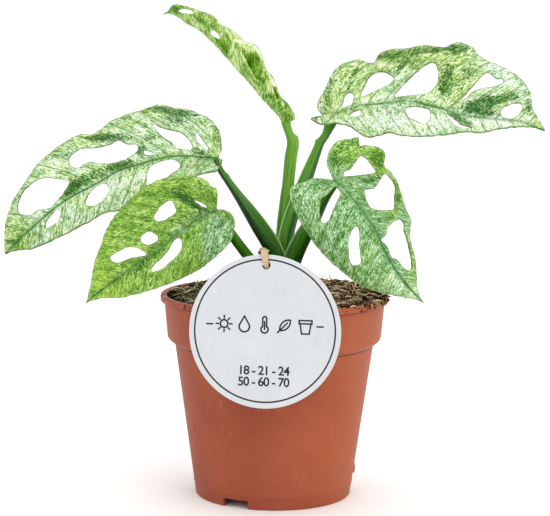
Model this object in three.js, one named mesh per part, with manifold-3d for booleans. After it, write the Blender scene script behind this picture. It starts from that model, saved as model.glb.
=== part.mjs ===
// A young mint-variegated Swiss cheese vine in a nursery pot, with a round card tag tied to its stalks.
// Millimetres, +Z up. The pot stands on z = 0 with its axis on the Z axis, and its front faces -Y.
import * as THREE from "three";
import { mergeVertices } from "three/addons/utils/BufferGeometryUtils.js";
import Module from "manifold-3d";

const wasm = await Module();
wasm.setup();

// Driving dimensions
const GAP = 0.3;

const FOOT_RADIUS = 41;
const WALL_TOP_RADIUS = 52.3;
const COLLAR_BOTTOM_RADIUS = 56.2;
const COLLAR_TOP_RADIUS = 58;
const LIP_RADIUS = 60;
const LIP_INNER_RADIUS = 56.6;
const LIP_BOTTOM = 103;
const POT_HEIGHT = 106.5;
const STEP_BOTTOM = 80.6;
const STEP_TOP = 84.4;
const POT_WALL = 1;
const BASE_PLATE_BOTTOM = 5;
const BASE_PLATE_TOP = 6.2;
const FOOT_RING_WIDTH = 2.2;
const MOULD_LINE_HEIGHT = 7;
const MOULD_LINE_PROUD = 0.25;
const POT_SIDES = 48;
const DRAIN_NOTCHES = 3;
const DRAIN_NOTCH_WIDTH = 14.5;
const DRAIN_NOTCH_HEIGHT = 4.6;
const FRONT_NOTCH_ANGLE = -118;
const FOOT_EDGE = 0.9;
const STEP_ROUND = 1.4;
const LIP_ROUND = 1;
const NUB = { bottom: 10, top: 17, radius: 0.8, proud: 0.8 };

const SOIL_EDGE_HEIGHT = 104.6;
const SOIL_BACK_RISE = 4.2;
const SOIL_MOUND = 2.6;
const SOIL_MOUND_RADIUS = 26;
const SOIL_CRUMB = 0.5;
const SOIL_SIDES = 36;
const SOIL_RINGS = 7;
const SOIL_CLEARANCE = 0.7;

const CROWN = { x: 3, y: 0, bottom: 94, top: 118, radius: 8.5, rounding: 2 };
const CROWN_CLEARANCE = 0.4;
const CROWN_SIDES = 18;

const BLADE_THICKNESS = 0.7;
const RIB_DEPTH = 1.3;
const BODY_ROWS = 21;
const ACROSS = [0, 0.12, 0.45, 0.8, 1];
const FULL_WAVE_WIDTH = 12;
const HOLE_NEAR = -90;
const HOLE_FAR = 110;
const HOLE_SIDES = 18;
const SPINE_STEPS = 60;

const TAG_RADIUS = 38.1;
const TAG_THICKNESS = 0.6;
const TAG_LEAN = 6;
const TAG_TURN = -10;
const TAG_HOLE_RADIUS = 2.1;
const TAG_HOLE_DROP = 5.3;
const TAG_CURVE_STEPS = 28;
const TAG_CENTRE_SEEN = [-5.1, 86];
const TIE_WIDTH = 3.6;
const TIE_THICKNESS = 0.9;
const TIE_STEPS = 3;
const TIE_TENSION = 0.3;

// Outlines of leaves and stalks are written as x and z on the upright plane through the pot's axis,
// as an eye at this place in front of the pot sees them there. seen() slides such a point along the
// line of sight to its own depth y.
const EYE = new THREE.Vector3(0, -950, 251);

function seen(x, z, y) {
  const reach = (y - EYE.y) / -EYE.y;
  return new THREE.Vector3(x * reach, y, EYE.z + (z - EYE.z) * reach);
}

// Leaves. rib runs from the stalk to the tip. A margin runs from the sinus beside the stalk to the tip.
// fan is the share of the margin whose veins all start at the stalk, tilt the depth that a half gains
// for each millimetre away from the rib, at the stalk and at the tip, arch its bulge, and waves the
// ripple of its edge.
const LEFT_UPPER = {
  rib: [[-30, 177.5], [-39.5, 178], [-50, 178.5], [-60.5, 177], [-71, 174], [-81.5, 170.5],
    [-92, 164.5], [-111.5, 153.5], [-127, 140.5], [-142, 126]],
  depth: [-9, -10, -5],
  halves: [
    {
      margin: [[-28.5, 182], [-29, 188], [-30, 192], [-35.5, 198], [-46, 202.5], [-52.5, 203],
        [-60.5, 205], [-70, 202], [-78, 199.5], [-86, 196], [-93, 190.5], [-96, 189], [-102, 189],
        [-111.5, 184], [-118, 179], [-125, 172.5], [-133, 161], [-138.5, 151.5], [-141.5, 140],
        [-142, 126]],
      fan: 0.17, fanRows: 6, tilt: [0.95, 0.35], arch: -2.5, waves: { height: 2.2, count: 5, phase: 0.4 },
    },
    {
      margin: [[-28, 176.8], [-29.5, 172.5], [-31.5, 170.5], [-39, 169], [-47.5, 164.5], [-58, 158],
        [-71, 152.5], [-82.5, 149.5], [-90, 148], [-97.5, 143.5], [-107, 138.5], [-118, 133],
        [-128.5, 129], [-138.5, 127.5], [-142, 126]],
      fan: 0.12, fanRows: 5, tilt: [-0.55, -0.7], arch: 3, waves: { height: 2, count: 4, phase: 1.2 },
    },
  ],
  holes: [
    [[-41.5, 191], [-39.5, 188.5], [-35.5, 182.5], [-36, 181.5], [-39.5, 184.5], [-41.5, 186.5]],
    [[-65.5, 197], [-60.5, 193.5], [-49.5, 190.5], [-46, 187.5], [-43.5, 183.5], [-44, 182],
      [-51.5, 182.5], [-54.5, 185.5], [-59, 188]],
    [[-69, 181], [-65.5, 180.5], [-63, 179.2], [-68.5, 179]],
    [[-108, 176], [-107, 178], [-102, 181.5], [-95.5, 182], [-85.5, 184.5], [-81.5, 186.5],
      [-78.5, 184.5], [-72.5, 184], [-72, 181], [-82.5, 175], [-92, 174], [-97, 175], [-104, 171.5],
      [-107, 172.5]],
    [[-122, 166], [-109, 165], [-108, 164], [-118.5, 150.5], [-124, 149.5], [-129.5, 146.5],
      [-134.5, 148.5], [-133, 157], [-129, 162]],
    [[-114.5, 149.5], [-112.5, 148.5], [-113.5, 144.5], [-117, 141], [-120, 140], [-120, 142.5]],
    [[-89, 163.5], [-87, 160], [-90.5, 154.5], [-95, 152], [-99.5, 152.5], [-95.5, 160.5]],
    [[-65, 173], [-59.5, 175.5], [-55.5, 176.5], [-52, 176], [-50, 173], [-56.5, 167.5],
      [-61.5, 162], [-66, 160.5], [-67.5, 167]],
  ],
};

const LEFT_LOWER = {
  rib: [[-31, 150.5], [-39.5, 146], [-50, 138.5], [-60.5, 129.5], [-71, 122.5], [-83, 113.5],
    [-91, 107.5], [-99.5, 100.5]],
  depth: [-24, -34, -46],
  halves: [
    {
      margin: [[-31, 155.5], [-31.5, 159], [-31, 161.5], [-34, 162.5], [-36, 165.5], [-39, 167],
        [-50, 168], [-60.5, 166], [-70.5, 160.5], [-81.5, 150], [-89, 138.5], [-92, 129.5],
        [-95, 121], [-96.5, 111.5], [-99.5, 100.5]],
      fan: 0.3, fanRows: 8, tilt: [-0.15, 0.05], arch: -3, waves: { height: 1.5, count: 3, phase: 2.4 },
    },
    {
      margin: [[-28.5, 150.5], [-25, 149.5], [-22, 146], [-21.5, 141], [-23.5, 134], [-28, 128.5],
        [-39.5, 119], [-51, 113], [-65.5, 107.5], [-81.5, 103.5], [-91, 103], [-99.5, 100.5]],
      fan: 0.3, fanRows: 7, tilt: [-0.4, -0.3], arch: -2.5, waves: { height: 1.2, count: 3, phase: 0 },
    },
  ],
  holes: [
    [[-42, 155], [-39.5, 154.5], [-36.5, 152.5], [-36, 151.5], [-38.5, 152], [-40.5, 153.5]],
    [[-54.5, 155], [-53, 152.5], [-52, 149.5], [-53, 148], [-61, 144], [-63.5, 146], [-62, 149],
      [-59.5, 152.5]],
    [[-69.5, 137], [-65.5, 138.5], [-61.5, 136], [-62, 134], [-65, 132], [-68, 132], [-70.5, 133.5]],
    [[-86.5, 124.5], [-83, 127.5], [-78, 130], [-73, 130], [-67.5, 126.5], [-75.5, 124.5],
      [-84, 122]],
    [[-51.5, 135.5], [-49.5, 134.5], [-49, 131.5], [-50, 128], [-57.5, 120.5], [-61.5, 118],
      [-64.5, 117.5], [-64.5, 119.5], [-57, 127.5], [-54, 132.5]],
  ],
};

const RIGHT_UPPER = {
  rib: [[30.5, 201.5], [43.5, 205.5], [54, 206.5], [64, 208], [70.5, 208], [77, 206.5], [85, 204.5],
    [95.5, 201.5], [106, 200], [116.5, 199], [127, 198], [140, 193.5]],
  depth: [26, 26, 8],
  halves: [
    {
      margin: [[24.5, 199.8], [21.5, 203.5], [21.5, 207], [25.5, 214.5], [29.5, 223], [33.5, 226.5],
        [42, 229], [50, 227.5], [54, 232.5], [58.5, 234.5], [68.5, 235.5], [75, 237], [87, 236],
        [92.5, 238.5], [100.5, 236.5], [104.5, 232], [111, 228.5], [119.5, 225], [126.5, 220],
        [131.5, 213.5], [133, 205.5], [140, 193.5]],
      fan: 0.24, fanRows: 8, tilt: [1.05, 0.35], arch: -2.5, waves: { height: 2.4, count: 5, phase: 0 },
    },
    {
      margin: [[20.5, 199.3], [18, 198.5], [23, 195.5], [31, 196], [38.5, 194.5], [45, 190],
        [48, 189], [59.5, 191.5], [64, 190.5], [76, 190], [90.5, 191], [98.5, 192.5], [106, 192],
        [116.5, 194], [127, 195.3], [135, 195], [140, 193.5]],
      fan: 0.17, fanRows: 6, tilt: [-1.6, -0.9], arch: 2.5, waves: { height: 2, count: 4, phase: 0.6 },
    },
  ],
  holes: [
    [[37.5, 212], [39.5, 211.5], [39.5, 206.5], [37.5, 205.2], [33.8, 204.5], [34.5, 207],
      [36, 211]],
    [[44, 210.5], [45, 214], [46.5, 217.5], [49, 221], [55, 223], [61, 219.5], [59.5, 217.5],
      [48.5, 212]],
    [[61.5, 210.5], [64, 214.5], [70.5, 221], [79.5, 228], [82, 227.5], [83.5, 222.5], [83, 217],
      [78.5, 212.5], [69, 211]],
    [[109, 223], [114, 220], [117, 220], [117.5, 218], [102.5, 213.5], [98, 209.5], [90, 205.5],
      [95, 208.5], [101, 215]],
    [[116.5, 203], [118, 205], [123.5, 207.5], [126.5, 207.5], [127.5, 205.5], [125.5, 201],
      [121, 199.5], [117.5, 200.5]],
    [[38, 200.5], [43.5, 203.3], [43.5, 200.5], [41, 199.5]],
    [[67, 203.5], [69, 205], [79.5, 203.5], [80, 200], [77.5, 196], [75, 197], [69, 199.5]],
    [[88.5, 201.5], [93.5, 198.3], [96, 196.3], [102, 194.3], [93.5, 195], [91, 197.5]],
  ],
};

const RIGHT_LOWER = {
  rib: [[30.5, 166.5], [37, 161], [44, 152.5], [48.5, 146.5], [52.5, 140.5], [57.5, 129.5],
    [65.5, 116.5], [70, 111], [78.5, 102]],
  depth: [-30, -38, -42],
  halves: [
    {
      margin: [[27, 166.5], [20.5, 167.5], [12.5, 164], [9.5, 163.5], [7.5, 160.5], [8, 156],
        [14, 143], [24, 129], [34, 119.5], [45, 111.5], [54, 108], [66, 105.5], [76, 103.5],
        [78.5, 102]],
      fan: 0.22, fanRows: 6, tilt: [-0.15, -0.1], arch: -4, waves: { height: 1.2, count: 3, phase: 0 },
    },
    {
      margin: [[29, 170], [27, 174.5], [27, 178.5], [30.5, 185.5], [33.5, 187.5], [38.5, 188],
        [42.5, 189], [43.5, 184.5], [47, 185], [55.5, 182.5], [57, 179.5], [56.5, 174.5],
        [59.5, 171.5], [63, 166.5], [66.5, 156.5], [68.5, 151], [71, 145.5], [70.5, 138],
        [72.8, 127.5], [74.3, 121], [74.8, 114.5], [75.5, 107.5], [78.5, 102]],
      fan: 0.5, fanRows: 18, tilt: [0.5, 0.3], arch: -3, waves: { height: 2, count: 4, phase: 1 },
    },
  ],
  holes: [
    [[31.5, 163], [34, 160], [32.5, 156.5], [30, 151], [27.5, 145], [25.5, 144], [24, 146],
      [23.5, 155.5], [26.5, 158.5]],
    [[42.5, 142.5], [44, 140.5], [44, 135], [45, 124], [44.5, 122.5], [41, 122], [39.5, 124],
      [39, 136.5]],
    [[35.5, 168.8], [35.5, 170.5], [39, 172.5], [41.5, 176], [44.5, 179.5], [49, 175.5],
      [52, 171], [49, 170], [40, 169]],
    [[46.5, 161.5], [52, 163], [54.5, 167], [57, 170], [59, 168.5], [62, 164.5], [62, 156.5],
      [62, 151.5], [58.5, 151], [49.5, 152.5], [47, 159]],
    [[65.5, 146.5], [67, 144], [67.5, 140.5], [69, 135.5], [71.5, 124.5], [71.5, 120],
      [69.5, 119.5], [63.5, 125.5], [61.5, 126], [59, 132], [55.5, 135.3], [58, 138], [59, 142]],
  ],
};

// The youngest leaf is still half rolled. spine is its midrib, crest the far side of the roll, and a
// row's two halves leave the spine and bend round towards the crest. A hole goes through the halves
// that it names.
const FURLED = {
  spine: [[3.5, 196.5], [1, 200], [-3.5, 204.5], [-14, 216.5], [-24.5, 228], [-34.5, 238.5],
    [-40, 243.5], [-46.8, 247.2], [-51.5, 250.6], [-55.5, 252.2], [-59, 251.5]],
  crest: [[8, 197.5], [9.5, 198.5], [8, 203], [5.5, 206.5], [2, 209.5], [-2, 219], [-5.5, 223.5],
    [-8, 230.5], [-11, 236], [-16, 237.5], [-23, 243.5], [-29, 246.5], [-33, 250.5], [-45, 255],
    [-53.5, 256.5], [-56, 253.5], [-59, 251.5]],
  depth: [13, 34, 69],
  roundness: 0.42,
  frontTurn: 148,
  backTurn: 196,
  rows: 20,
  turns: 7,
  holes: [
    { ring: [[-51.5, 253.6], [-46, 254.4], [-43, 252.4], [-47.5, 252.2]], halves: "both" },
    { ring: [[-34.7, 243.3], [-33.2, 243.8], [-30.8, 242], [-27.4, 238.7], [-25.4, 235],
      [-25.4, 232.6], [-27.4, 233.1], [-30, 236.8], [-33.7, 241.2]], halves: "front" },
    { ring: [[-34.7, 243.3], [-33.2, 243.8], [-31.1, 242.3], [-29.5, 240.3], [-30, 239.2],
      [-33.7, 241.2]], halves: "both" },
    { ring: [[-16, 231.6], [-13.4, 232.2], [-11.4, 231.4], [-10, 229.2], [-8.9, 225.5],
      [-8.3, 221.4], [-8.6, 219], [-9.6, 218], [-11.3, 219.8], [-13.4, 223.4], [-15.5, 227.5],
      [-16.5, 230.1]], halves: "front" },
    { ring: [[-1.8, 214.8], [-0.7, 214.8], [0.4, 212.2], [1.2, 209.1], [0.5, 208.1],
      [-0.8, 210.6]], halves: "front" },
  ],
};

// Stalks. Each station is x, z, depth y, width across the view and thickness along it.
const STALKS = [
  [[-31.5, 177, -8.4, 2.4, 2.4], [-29, 171.5, -8.8, 3.4, 3.2], [-24.5, 165, -10, 3.9, 3.6],
    [-19.5, 158, -10, 5, 4.4], [-14.5, 151, -10, 6.9, 5.4], [-8, 141.5, -9, 8.8, 6.4],
    [-2.3, 132.5, -7.5, 9.5, 7], [1, 124, -5, 9.8, 7.5], [2.5, 112, -3, 9.8, 8]],
  [[-33, 149, -24.5, 2.2, 2.2], [-27.5, 144.5, -20.5, 3.8, 3.4], [-22.5, 137, -16, 5.2, 4.6],
    [-14.5, 126.5, -9, 5.6, 5], [-2, 112, -2, 7, 7]],
  [[5.8, 196.5, 13, 3.6, 3.4], [7, 191.5, 12.8, 3.9, 3.6], [9, 186, 12.8, 5.8, 4.4],
    [8, 178.5, 13, 6, 4.6], [6.5, 165.5, 13, 6.2, 5], [5.5, 155, 12, 6.6, 5.4],
    [4.5, 144.5, 9.5, 7, 6], [4, 134, 6.5, 7.5, 6.6], [3, 112, 3.5, 8, 8]],
  [[33, 201.6, 26.6, 3, 3], [27.8, 195, 26, 5.8, 3.8], [26, 190.5, 24.5, 4.3, 3.8],
    [23, 186, 22, 4.6, 4.2], [21, 181, 20, 5.2, 4.6], [16.3, 168.5, 14.5, 6.9, 5.4],
    [12, 157.5, 8.5, 7.4, 6], [8.3, 147, 4, 7.6, 6.4], [5.5, 134.7, 1, 8, 7],
    [4.5, 112, 0, 8, 8]],
  [[32, 164.8, -30.5, 2.4, 2.4], [26, 157, -25, 4.8, 4], [20, 146, -19, 7.2, 5.4],
    [14.2, 135.8, -14, 9, 6.6], [9.7, 125.7, -9.5, 9.6, 7.4], [6, 112, -4, 9.6, 8]],
];
const STALK_SIDES = 10;
const STALK_STEP = 9;

// Colours
const TERRACOTTA = new THREE.MeshStandardMaterial({ color: 0xac5a3e, roughness: 0.55 });
const COMPOST = new THREE.MeshStandardMaterial({ color: 0x3a2c20, roughness: 1 });
const STALK_GREEN = new THREE.MeshStandardMaterial({ color: 0x4f8428, roughness: 0.5 });
const MINT_LEAF = new THREE.MeshStandardMaterial({ color: 0xa9cf93, roughness: 0.5 });
const GREEN_LEAF = new THREE.MeshStandardMaterial({ color: 0x86b545, roughness: 0.5 });
const CARD = new THREE.MeshStandardMaterial({ color: 0xe9eaec, roughness: 0.8 });
const ELASTIC = new THREE.MeshStandardMaterial({ color: 0xdfc8a4, roughness: 0.9 });

// Solids
const SAME_PLACE = 1e-3;

function solidOf(points, faces) {
  const vertProperties = new Float32Array(points.flatMap((p) => [p.x, p.y, p.z]));
  const make = (triVerts) => new wasm.Manifold(new wasm.Mesh({ numProp: 3, vertProperties, triVerts }));
  const solid = make(new Uint32Array(faces.flat()));
  return solid.volume() > 0 ? solid : make(new Uint32Array(faces.flatMap(([a, b, c]) => [a, c, b])));
}

function solidOfGeometry(geometry) {
  const bare = geometry.index ? geometry.toNonIndexed() : geometry.clone();
  bare.deleteAttribute("normal");
  bare.deleteAttribute("uv");
  const merged = mergeVertices(bare, SAME_PLACE);
  const places = merged.getAttribute("position");
  const points = Array.from({ length: places.count }, (_, i) => {
    return new THREE.Vector3().fromBufferAttribute(places, i);
  });
  const corners = Array.from(merged.index.array);
  const faces = [];
  for (let i = 0; i < corners.length; i += 3) {
    const face = corners.slice(i, i + 3);
    if (new Set(face).size === 3) faces.push(face);
  }
  return solidOf(points, faces);
}

function geometryOf(solid) {
  const mesh = solid.getMesh();
  const position = new Float32Array(mesh.numVert * 3);
  for (let i = 0; i < mesh.numVert; i++) {
    position.set(mesh.vertProperties.subarray(i * mesh.numProp, i * mesh.numProp + 3), i * 3);
  }
  const geometry = new THREE.BufferGeometry();
  geometry.setAttribute("position", new THREE.BufferAttribute(position, 3));
  geometry.setIndex(new THREE.BufferAttribute(mesh.triVerts, 1));
  return geometry;
}

function largestBody(solid) {
  return solid.decompose().reduce((best, body) => (body.volume() > best.volume() ? body : best));
}

// A lathe about the Z axis, from a profile of radius and height.
function turned(profile, sides) {
  const geometry = new THREE.LatheGeometry(profile.map(([r, z]) => new THREE.Vector2(r, z)), sides);
  return geometry.rotateX(Math.PI / 2);
}

// Rings of points, each joined to the next, with flat ends unless the last ring joins the first.
function loft(rings, isLoop) {
  const sides = rings[0].length;
  const points = rings.flat();
  const faces = [];
  const ringPairs = isLoop ? rings.length : rings.length - 1;
  for (let i = 0; i < ringPairs; i++) {
    const next = (i + 1) % rings.length;
    for (let k = 0; k < sides; k++) {
      const beside = (k + 1) % sides;
      const [a, b] = [i * sides + k, i * sides + beside];
      const [c, d] = [next * sides + k, next * sides + beside];
      faces.push([a, b, d], [a, d, c]);
    }
  }
  if (!isLoop) {
    const last = (rings.length - 1) * sides;
    for (let k = 1; k < sides - 1; k++) {
      faces.push([0, k + 1, k], [last, last + k, last + k + 1]);
    }
  }
  return solidOf(points, faces);
}

// Pot
function wallRadius(z) {
  return FOOT_RADIUS + ((WALL_TOP_RADIUS - FOOT_RADIUS) * z) / STEP_BOTTOM;
}

function makePot() {
  const [line, halfLine] = [MOULD_LINE_HEIGHT, 0.4];
  const footInner = FOOT_RADIUS - FOOT_RING_WIDTH;
  const shell = solidOfGeometry(turned([
    [footInner, 0],
    [FOOT_RADIUS - FOOT_EDGE, 0],
    [wallRadius(FOOT_EDGE), FOOT_EDGE],
    [wallRadius(line - halfLine), line - halfLine],
    [wallRadius(line) + MOULD_LINE_PROUD, line],
    [wallRadius(line + halfLine), line + halfLine],
    [WALL_TOP_RADIUS, STEP_BOTTOM],
    [COLLAR_BOTTOM_RADIUS - STEP_ROUND, STEP_TOP - STEP_ROUND],
    [COLLAR_BOTTOM_RADIUS, STEP_TOP],
    [COLLAR_TOP_RADIUS, LIP_BOTTOM],
    [LIP_RADIUS - LIP_ROUND / 2, LIP_BOTTOM + LIP_ROUND / 4],
    [LIP_RADIUS, LIP_BOTTOM + LIP_ROUND],
    [LIP_RADIUS, POT_HEIGHT - LIP_ROUND],
    [LIP_RADIUS - LIP_ROUND / 2, POT_HEIGHT - LIP_ROUND / 4],
    [LIP_RADIUS - 1.4 * LIP_ROUND, POT_HEIGHT],
    [LIP_INNER_RADIUS + LIP_ROUND / 2, POT_HEIGHT - LIP_ROUND / 4],
    [LIP_INNER_RADIUS, POT_HEIGHT - LIP_ROUND],
    [COLLAR_BOTTOM_RADIUS - POT_WALL, STEP_TOP],
    [WALL_TOP_RADIUS - POT_WALL, STEP_BOTTOM],
    [wallRadius(BASE_PLATE_TOP) - POT_WALL, BASE_PLATE_TOP],
    [0, BASE_PLATE_TOP],
    [0, BASE_PLATE_BOTTOM],
    [footInner, BASE_PLATE_BOTTOM],
    [footInner, 0],
  ], POT_SIDES));
  const notches = Array.from({ length: DRAIN_NOTCHES }, (_, k) => {
    const notch = new THREE.BoxGeometry(3 * FOOT_RING_WIDTH, DRAIN_NOTCH_WIDTH, 2 * DRAIN_NOTCH_HEIGHT);
    notch.translate(FOOT_RADIUS - FOOT_RING_WIDTH / 2, 0, 0);
    notch.rotateZ(THREE.MathUtils.degToRad(FRONT_NOTCH_ANGLE + (360 / DRAIN_NOTCHES) * k));
    return solidOfGeometry(notch);
  });
  const nubMiddle = (NUB.bottom + NUB.top) / 2;
  const nub = new THREE.CylinderGeometry(NUB.radius, NUB.radius, NUB.top - NUB.bottom, 10)
    .rotateX(Math.PI / 2)
    .translate(wallRadius(nubMiddle) + NUB.proud - NUB.radius, 0, nubMiddle);
  const nubbed = shell.add(solidOfGeometry(nub));
  return notches.reduce((pot, notch) => pot.subtract(notch), nubbed);
}

// Soil
function soilHeight(x, y) {
  const away = Math.hypot(x - CROWN.x, y - CROWN.y) / SOIL_MOUND_RADIUS;
  const mound = SOIL_MOUND * Math.exp(-away * away);
  const backRight = THREE.MathUtils.smoothstep(x * 0.6 + y * 0.8, -20, 65);
  const crumbs = Math.sin(x * 0.9 + y * 0.5) + Math.sin(y * 1.1 - x * 0.6 + 2);
  return SOIL_EDGE_HEIGHT + mound + SOIL_BACK_RISE * backRight + SOIL_CRUMB * crumbs;
}

function makeSoil() {
  const edge = LIP_INNER_RADIUS - SOIL_CLEARANCE;
  const inset = POT_WALL + SOIL_CLEARANCE;
  const wall = [
    [wallRadius(BASE_PLATE_TOP) - inset, BASE_PLATE_TOP + GAP],
    [WALL_TOP_RADIUS - inset, STEP_BOTTOM],
    [COLLAR_BOTTOM_RADIUS - inset, STEP_TOP],
  ];
  const ring = (radius, height) => Array.from({ length: SOIL_SIDES }, (_, k) => {
    const angle = (2 * Math.PI * k) / SOIL_SIDES;
    const [x, y] = [radius * Math.cos(angle), radius * Math.sin(angle)];
    return new THREE.Vector3(x, y, height(x, y));
  });
  const rings = wall.map(([radius, z]) => ring(radius, () => z));
  for (let i = SOIL_RINGS; i >= 1; i--) {
    rings.push(ring((edge * i) / SOIL_RINGS, soilHeight));
  }
  const holeRadius = CROWN.radius + CROWN_CLEARANCE;
  const crownHole = turned([
    [0, CROWN.bottom - GAP],
    [holeRadius, CROWN.bottom - GAP],
    [holeRadius, POT_HEIGHT + SOIL_BACK_RISE + SOIL_MOUND],
    [0, POT_HEIGHT + SOIL_BACK_RISE + SOIL_MOUND],
  ], CROWN_SIDES).translate(CROWN.x, CROWN.y, 0);
  return loft(rings, false).subtract(solidOfGeometry(crownHole));
}

// Leaf blades
function viewCurve(outline, isRing) {
  const points = outline.map(([x, z]) => new THREE.Vector3(x, 0, z));
  return new THREE.CatmullRomCurve3(points, isRing, "centripetal");
}

// The depth at a share of the way, on the parabola through the depths at the start, middle and end.
function depthAlong([start, middle, end], share) {
  const [fromStart, fromEnd] = [1 - share, 2 * share - 1];
  return -start * fromStart * fromEnd + middle * 4 * share * fromStart + end * share * fromEnd;
}

// A point of one half: share is the place on the rib where its vein starts, reach the place on the
// margin where it ends, and across how far along the vein the point is.
function bladePoint(leaf, half, share, reach, across) {
  const start = leaf.ribCurve.getPointAt(share);
  const end = half.curve.getPointAt(reach);
  const width = start.distanceTo(end);
  const { height, count, phase } = half.waves;
  const fade = Math.min(1, width / FULL_WAVE_WIDTH);
  const ripple = height * fade * across ** 2 * Math.sin(2 * Math.PI * count * reach + phase);
  const bulge = half.arch * fade * 4 * across * (1 - across);
  const tilt = THREE.MathUtils.lerp(...half.tilt, reach);
  const depth = depthAlong(leaf.depth, share) + tilt * width * across + bulge + ripple;
  const place = start.lerp(end, across);
  return seen(place.x, place.z, depth);
}

// The middle surface of a blade: its points, its triangles facing the eye, and the points on the rib.
function bladeSheet(leaf) {
  leaf.ribCurve = viewCurve(leaf.rib, false);
  const ribRow = Array.from({ length: BODY_ROWS + 1 }, (_, i) => i);
  const points = ribRow.map((i) => {
    const place = leaf.ribCurve.getPointAt(i / BODY_ROWS);
    return seen(place.x, place.z, depthAlong(leaf.depth, i / BODY_ROWS));
  });
  const faces = [];
  leaf.halves.forEach((half, side) => {
    half.curve = viewCurve(half.margin, false);
    const rows = [];
    for (let i = -half.fanRows; i <= BODY_ROWS; i++) {
      const share = Math.max(0, i) / BODY_ROWS;
      const reach = i < 0 ? half.fan * (1 + i / half.fanRows) : half.fan + (1 - half.fan) * share;
      rows.push(ACROSS.map((across) => {
        if (across === 0 || i === BODY_ROWS) return Math.max(0, i);
        return points.push(bladePoint(leaf, half, share, reach, across)) - 1;
      }));
    }
    rows.slice(1).forEach((row, i) => {
      const before = rows[i];
      for (let k = 0; k < ACROSS.length - 1; k++) {
        const quad = [[before[k], row[k], row[k + 1]], [before[k], row[k + 1], before[k + 1]]];
        for (const [a, b, c] of quad) {
          if (new Set([a, b, c]).size === 3) faces.push(side ? [a, c, b] : [a, b, c]);
        }
      }
    });
  });
  return { points, faces: facingEye(points, faces), rib: ribRow };
}

function facingEye(points, faces) {
  const facing = faces.reduce((sum, [a, b, c]) => {
    const [p, q, r] = [points[a], points[b], points[c]];
    return sum + (q.x - p.x) * (r.z - p.z) - (q.z - p.z) * (r.x - p.x);
  }, 0);
  return facing > 0 ? faces : faces.map(([a, b, c]) => [a, c, b]);
}

// A sheet made solid: both faces have the same triangles, and the rib stands proud underneath. The
// edge goes outwards by spread.
function thicken({ points, faces, rib }, thickness, ribDepth, spread) {
  const normals = points.map(() => new THREE.Vector3());
  const edges = new Map();
  for (const [a, b, c] of faces) {
    const [p, q, r] = [points[a], points[b], points[c]];
    const normal = q.clone().sub(p).cross(r.clone().sub(p));
    for (const [from, to] of [[a, b], [b, c], [c, a]]) {
      normals[from].add(normal);
      if (!edges.delete(`${to} ${from}`)) edges.set(`${from} ${to}`, [from, to]);
    }
  }
  normals.forEach((normal) => normal.normalize());
  const outward = points.map(() => new THREE.Vector3());
  for (const [a, b] of edges.values()) {
    const side = points[b].clone().sub(points[a]).cross(normals[a]).normalize();
    outward[a].add(side);
    outward[b].add(side);
  }
  const middle = points.map((p, i) => p.clone().addScaledVector(outward[i].normalize(), spread));
  const under = points.map(() => thickness / 2);
  rib.forEach((index, i) => {
    under[index] += ribDepth * (1 - i / rib.length);
  });
  const front = middle.map((p, i) => p.clone().addScaledVector(normals[i], thickness / 2));
  const back = middle.map((p, i) => p.clone().addScaledVector(normals[i], -under[i]));
  const count = points.length;
  const walls = [...edges.values()].flatMap(([a, b]) => [[b, a, a + count], [b, a + count, b + count]]);
  const backFaces = faces.map(([a, b, c]) => [a + count, c + count, b + count]);
  return solidOf([...front, ...back], [...faces, ...backFaces, ...walls]);
}

// A cutter along the line of sight, from an outline, down to the depth that farDepth gives for each of
// its points.
function sightCutter(outline, farDepth) {
  const count = Math.min(HOLE_SIDES, outline.length * 2);
  const ring = viewCurve(outline, true).getSpacedPoints(count).slice(0, count);
  const flat = ring.map((p) => new THREE.Vector2(p.x, p.z));
  if (THREE.ShapeUtils.isClockWise(flat)) {
    flat.reverse();
    ring.reverse();
  }
  const nearCap = THREE.ShapeUtils.triangulateShape(flat, []).map(([a, b, c]) => {
    return THREE.ShapeUtils.area([flat[a], flat[b], flat[c]]) > 0 ? [a, b, c] : [a, c, b];
  });
  const farCap = nearCap.map(([a, b, c]) => [a + count, c + count, b + count]);
  const sides = ring.flatMap((_, i) => {
    const next = (i + 1) % count;
    return [[next, i, i + count], [next, i + count, next + count]];
  });
  const near = ring.map((p) => seen(p.x, p.z, HOLE_NEAR));
  const far = ring.map((p) => seen(p.x, p.z, farDepth(p)));
  return solidOf([...near, ...far], [...nearCap, ...farCap, ...sides]);
}

function makeBlade(leaf) {
  const sheet = bladeSheet(leaf);
  const whole = thicken(sheet, BLADE_THICKNESS, RIB_DEPTH, 0);
  const cutters = leaf.holes.map((outline) => sightCutter(outline, () => HOLE_FAR));
  return {
    blade: cutters.reduce((blade, cutter) => blade.subtract(cutter), whole),
    clearance: thicken(sheet, BLADE_THICKNESS + 2 * GAP, RIB_DEPTH + GAP, GAP),
  };
}

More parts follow.
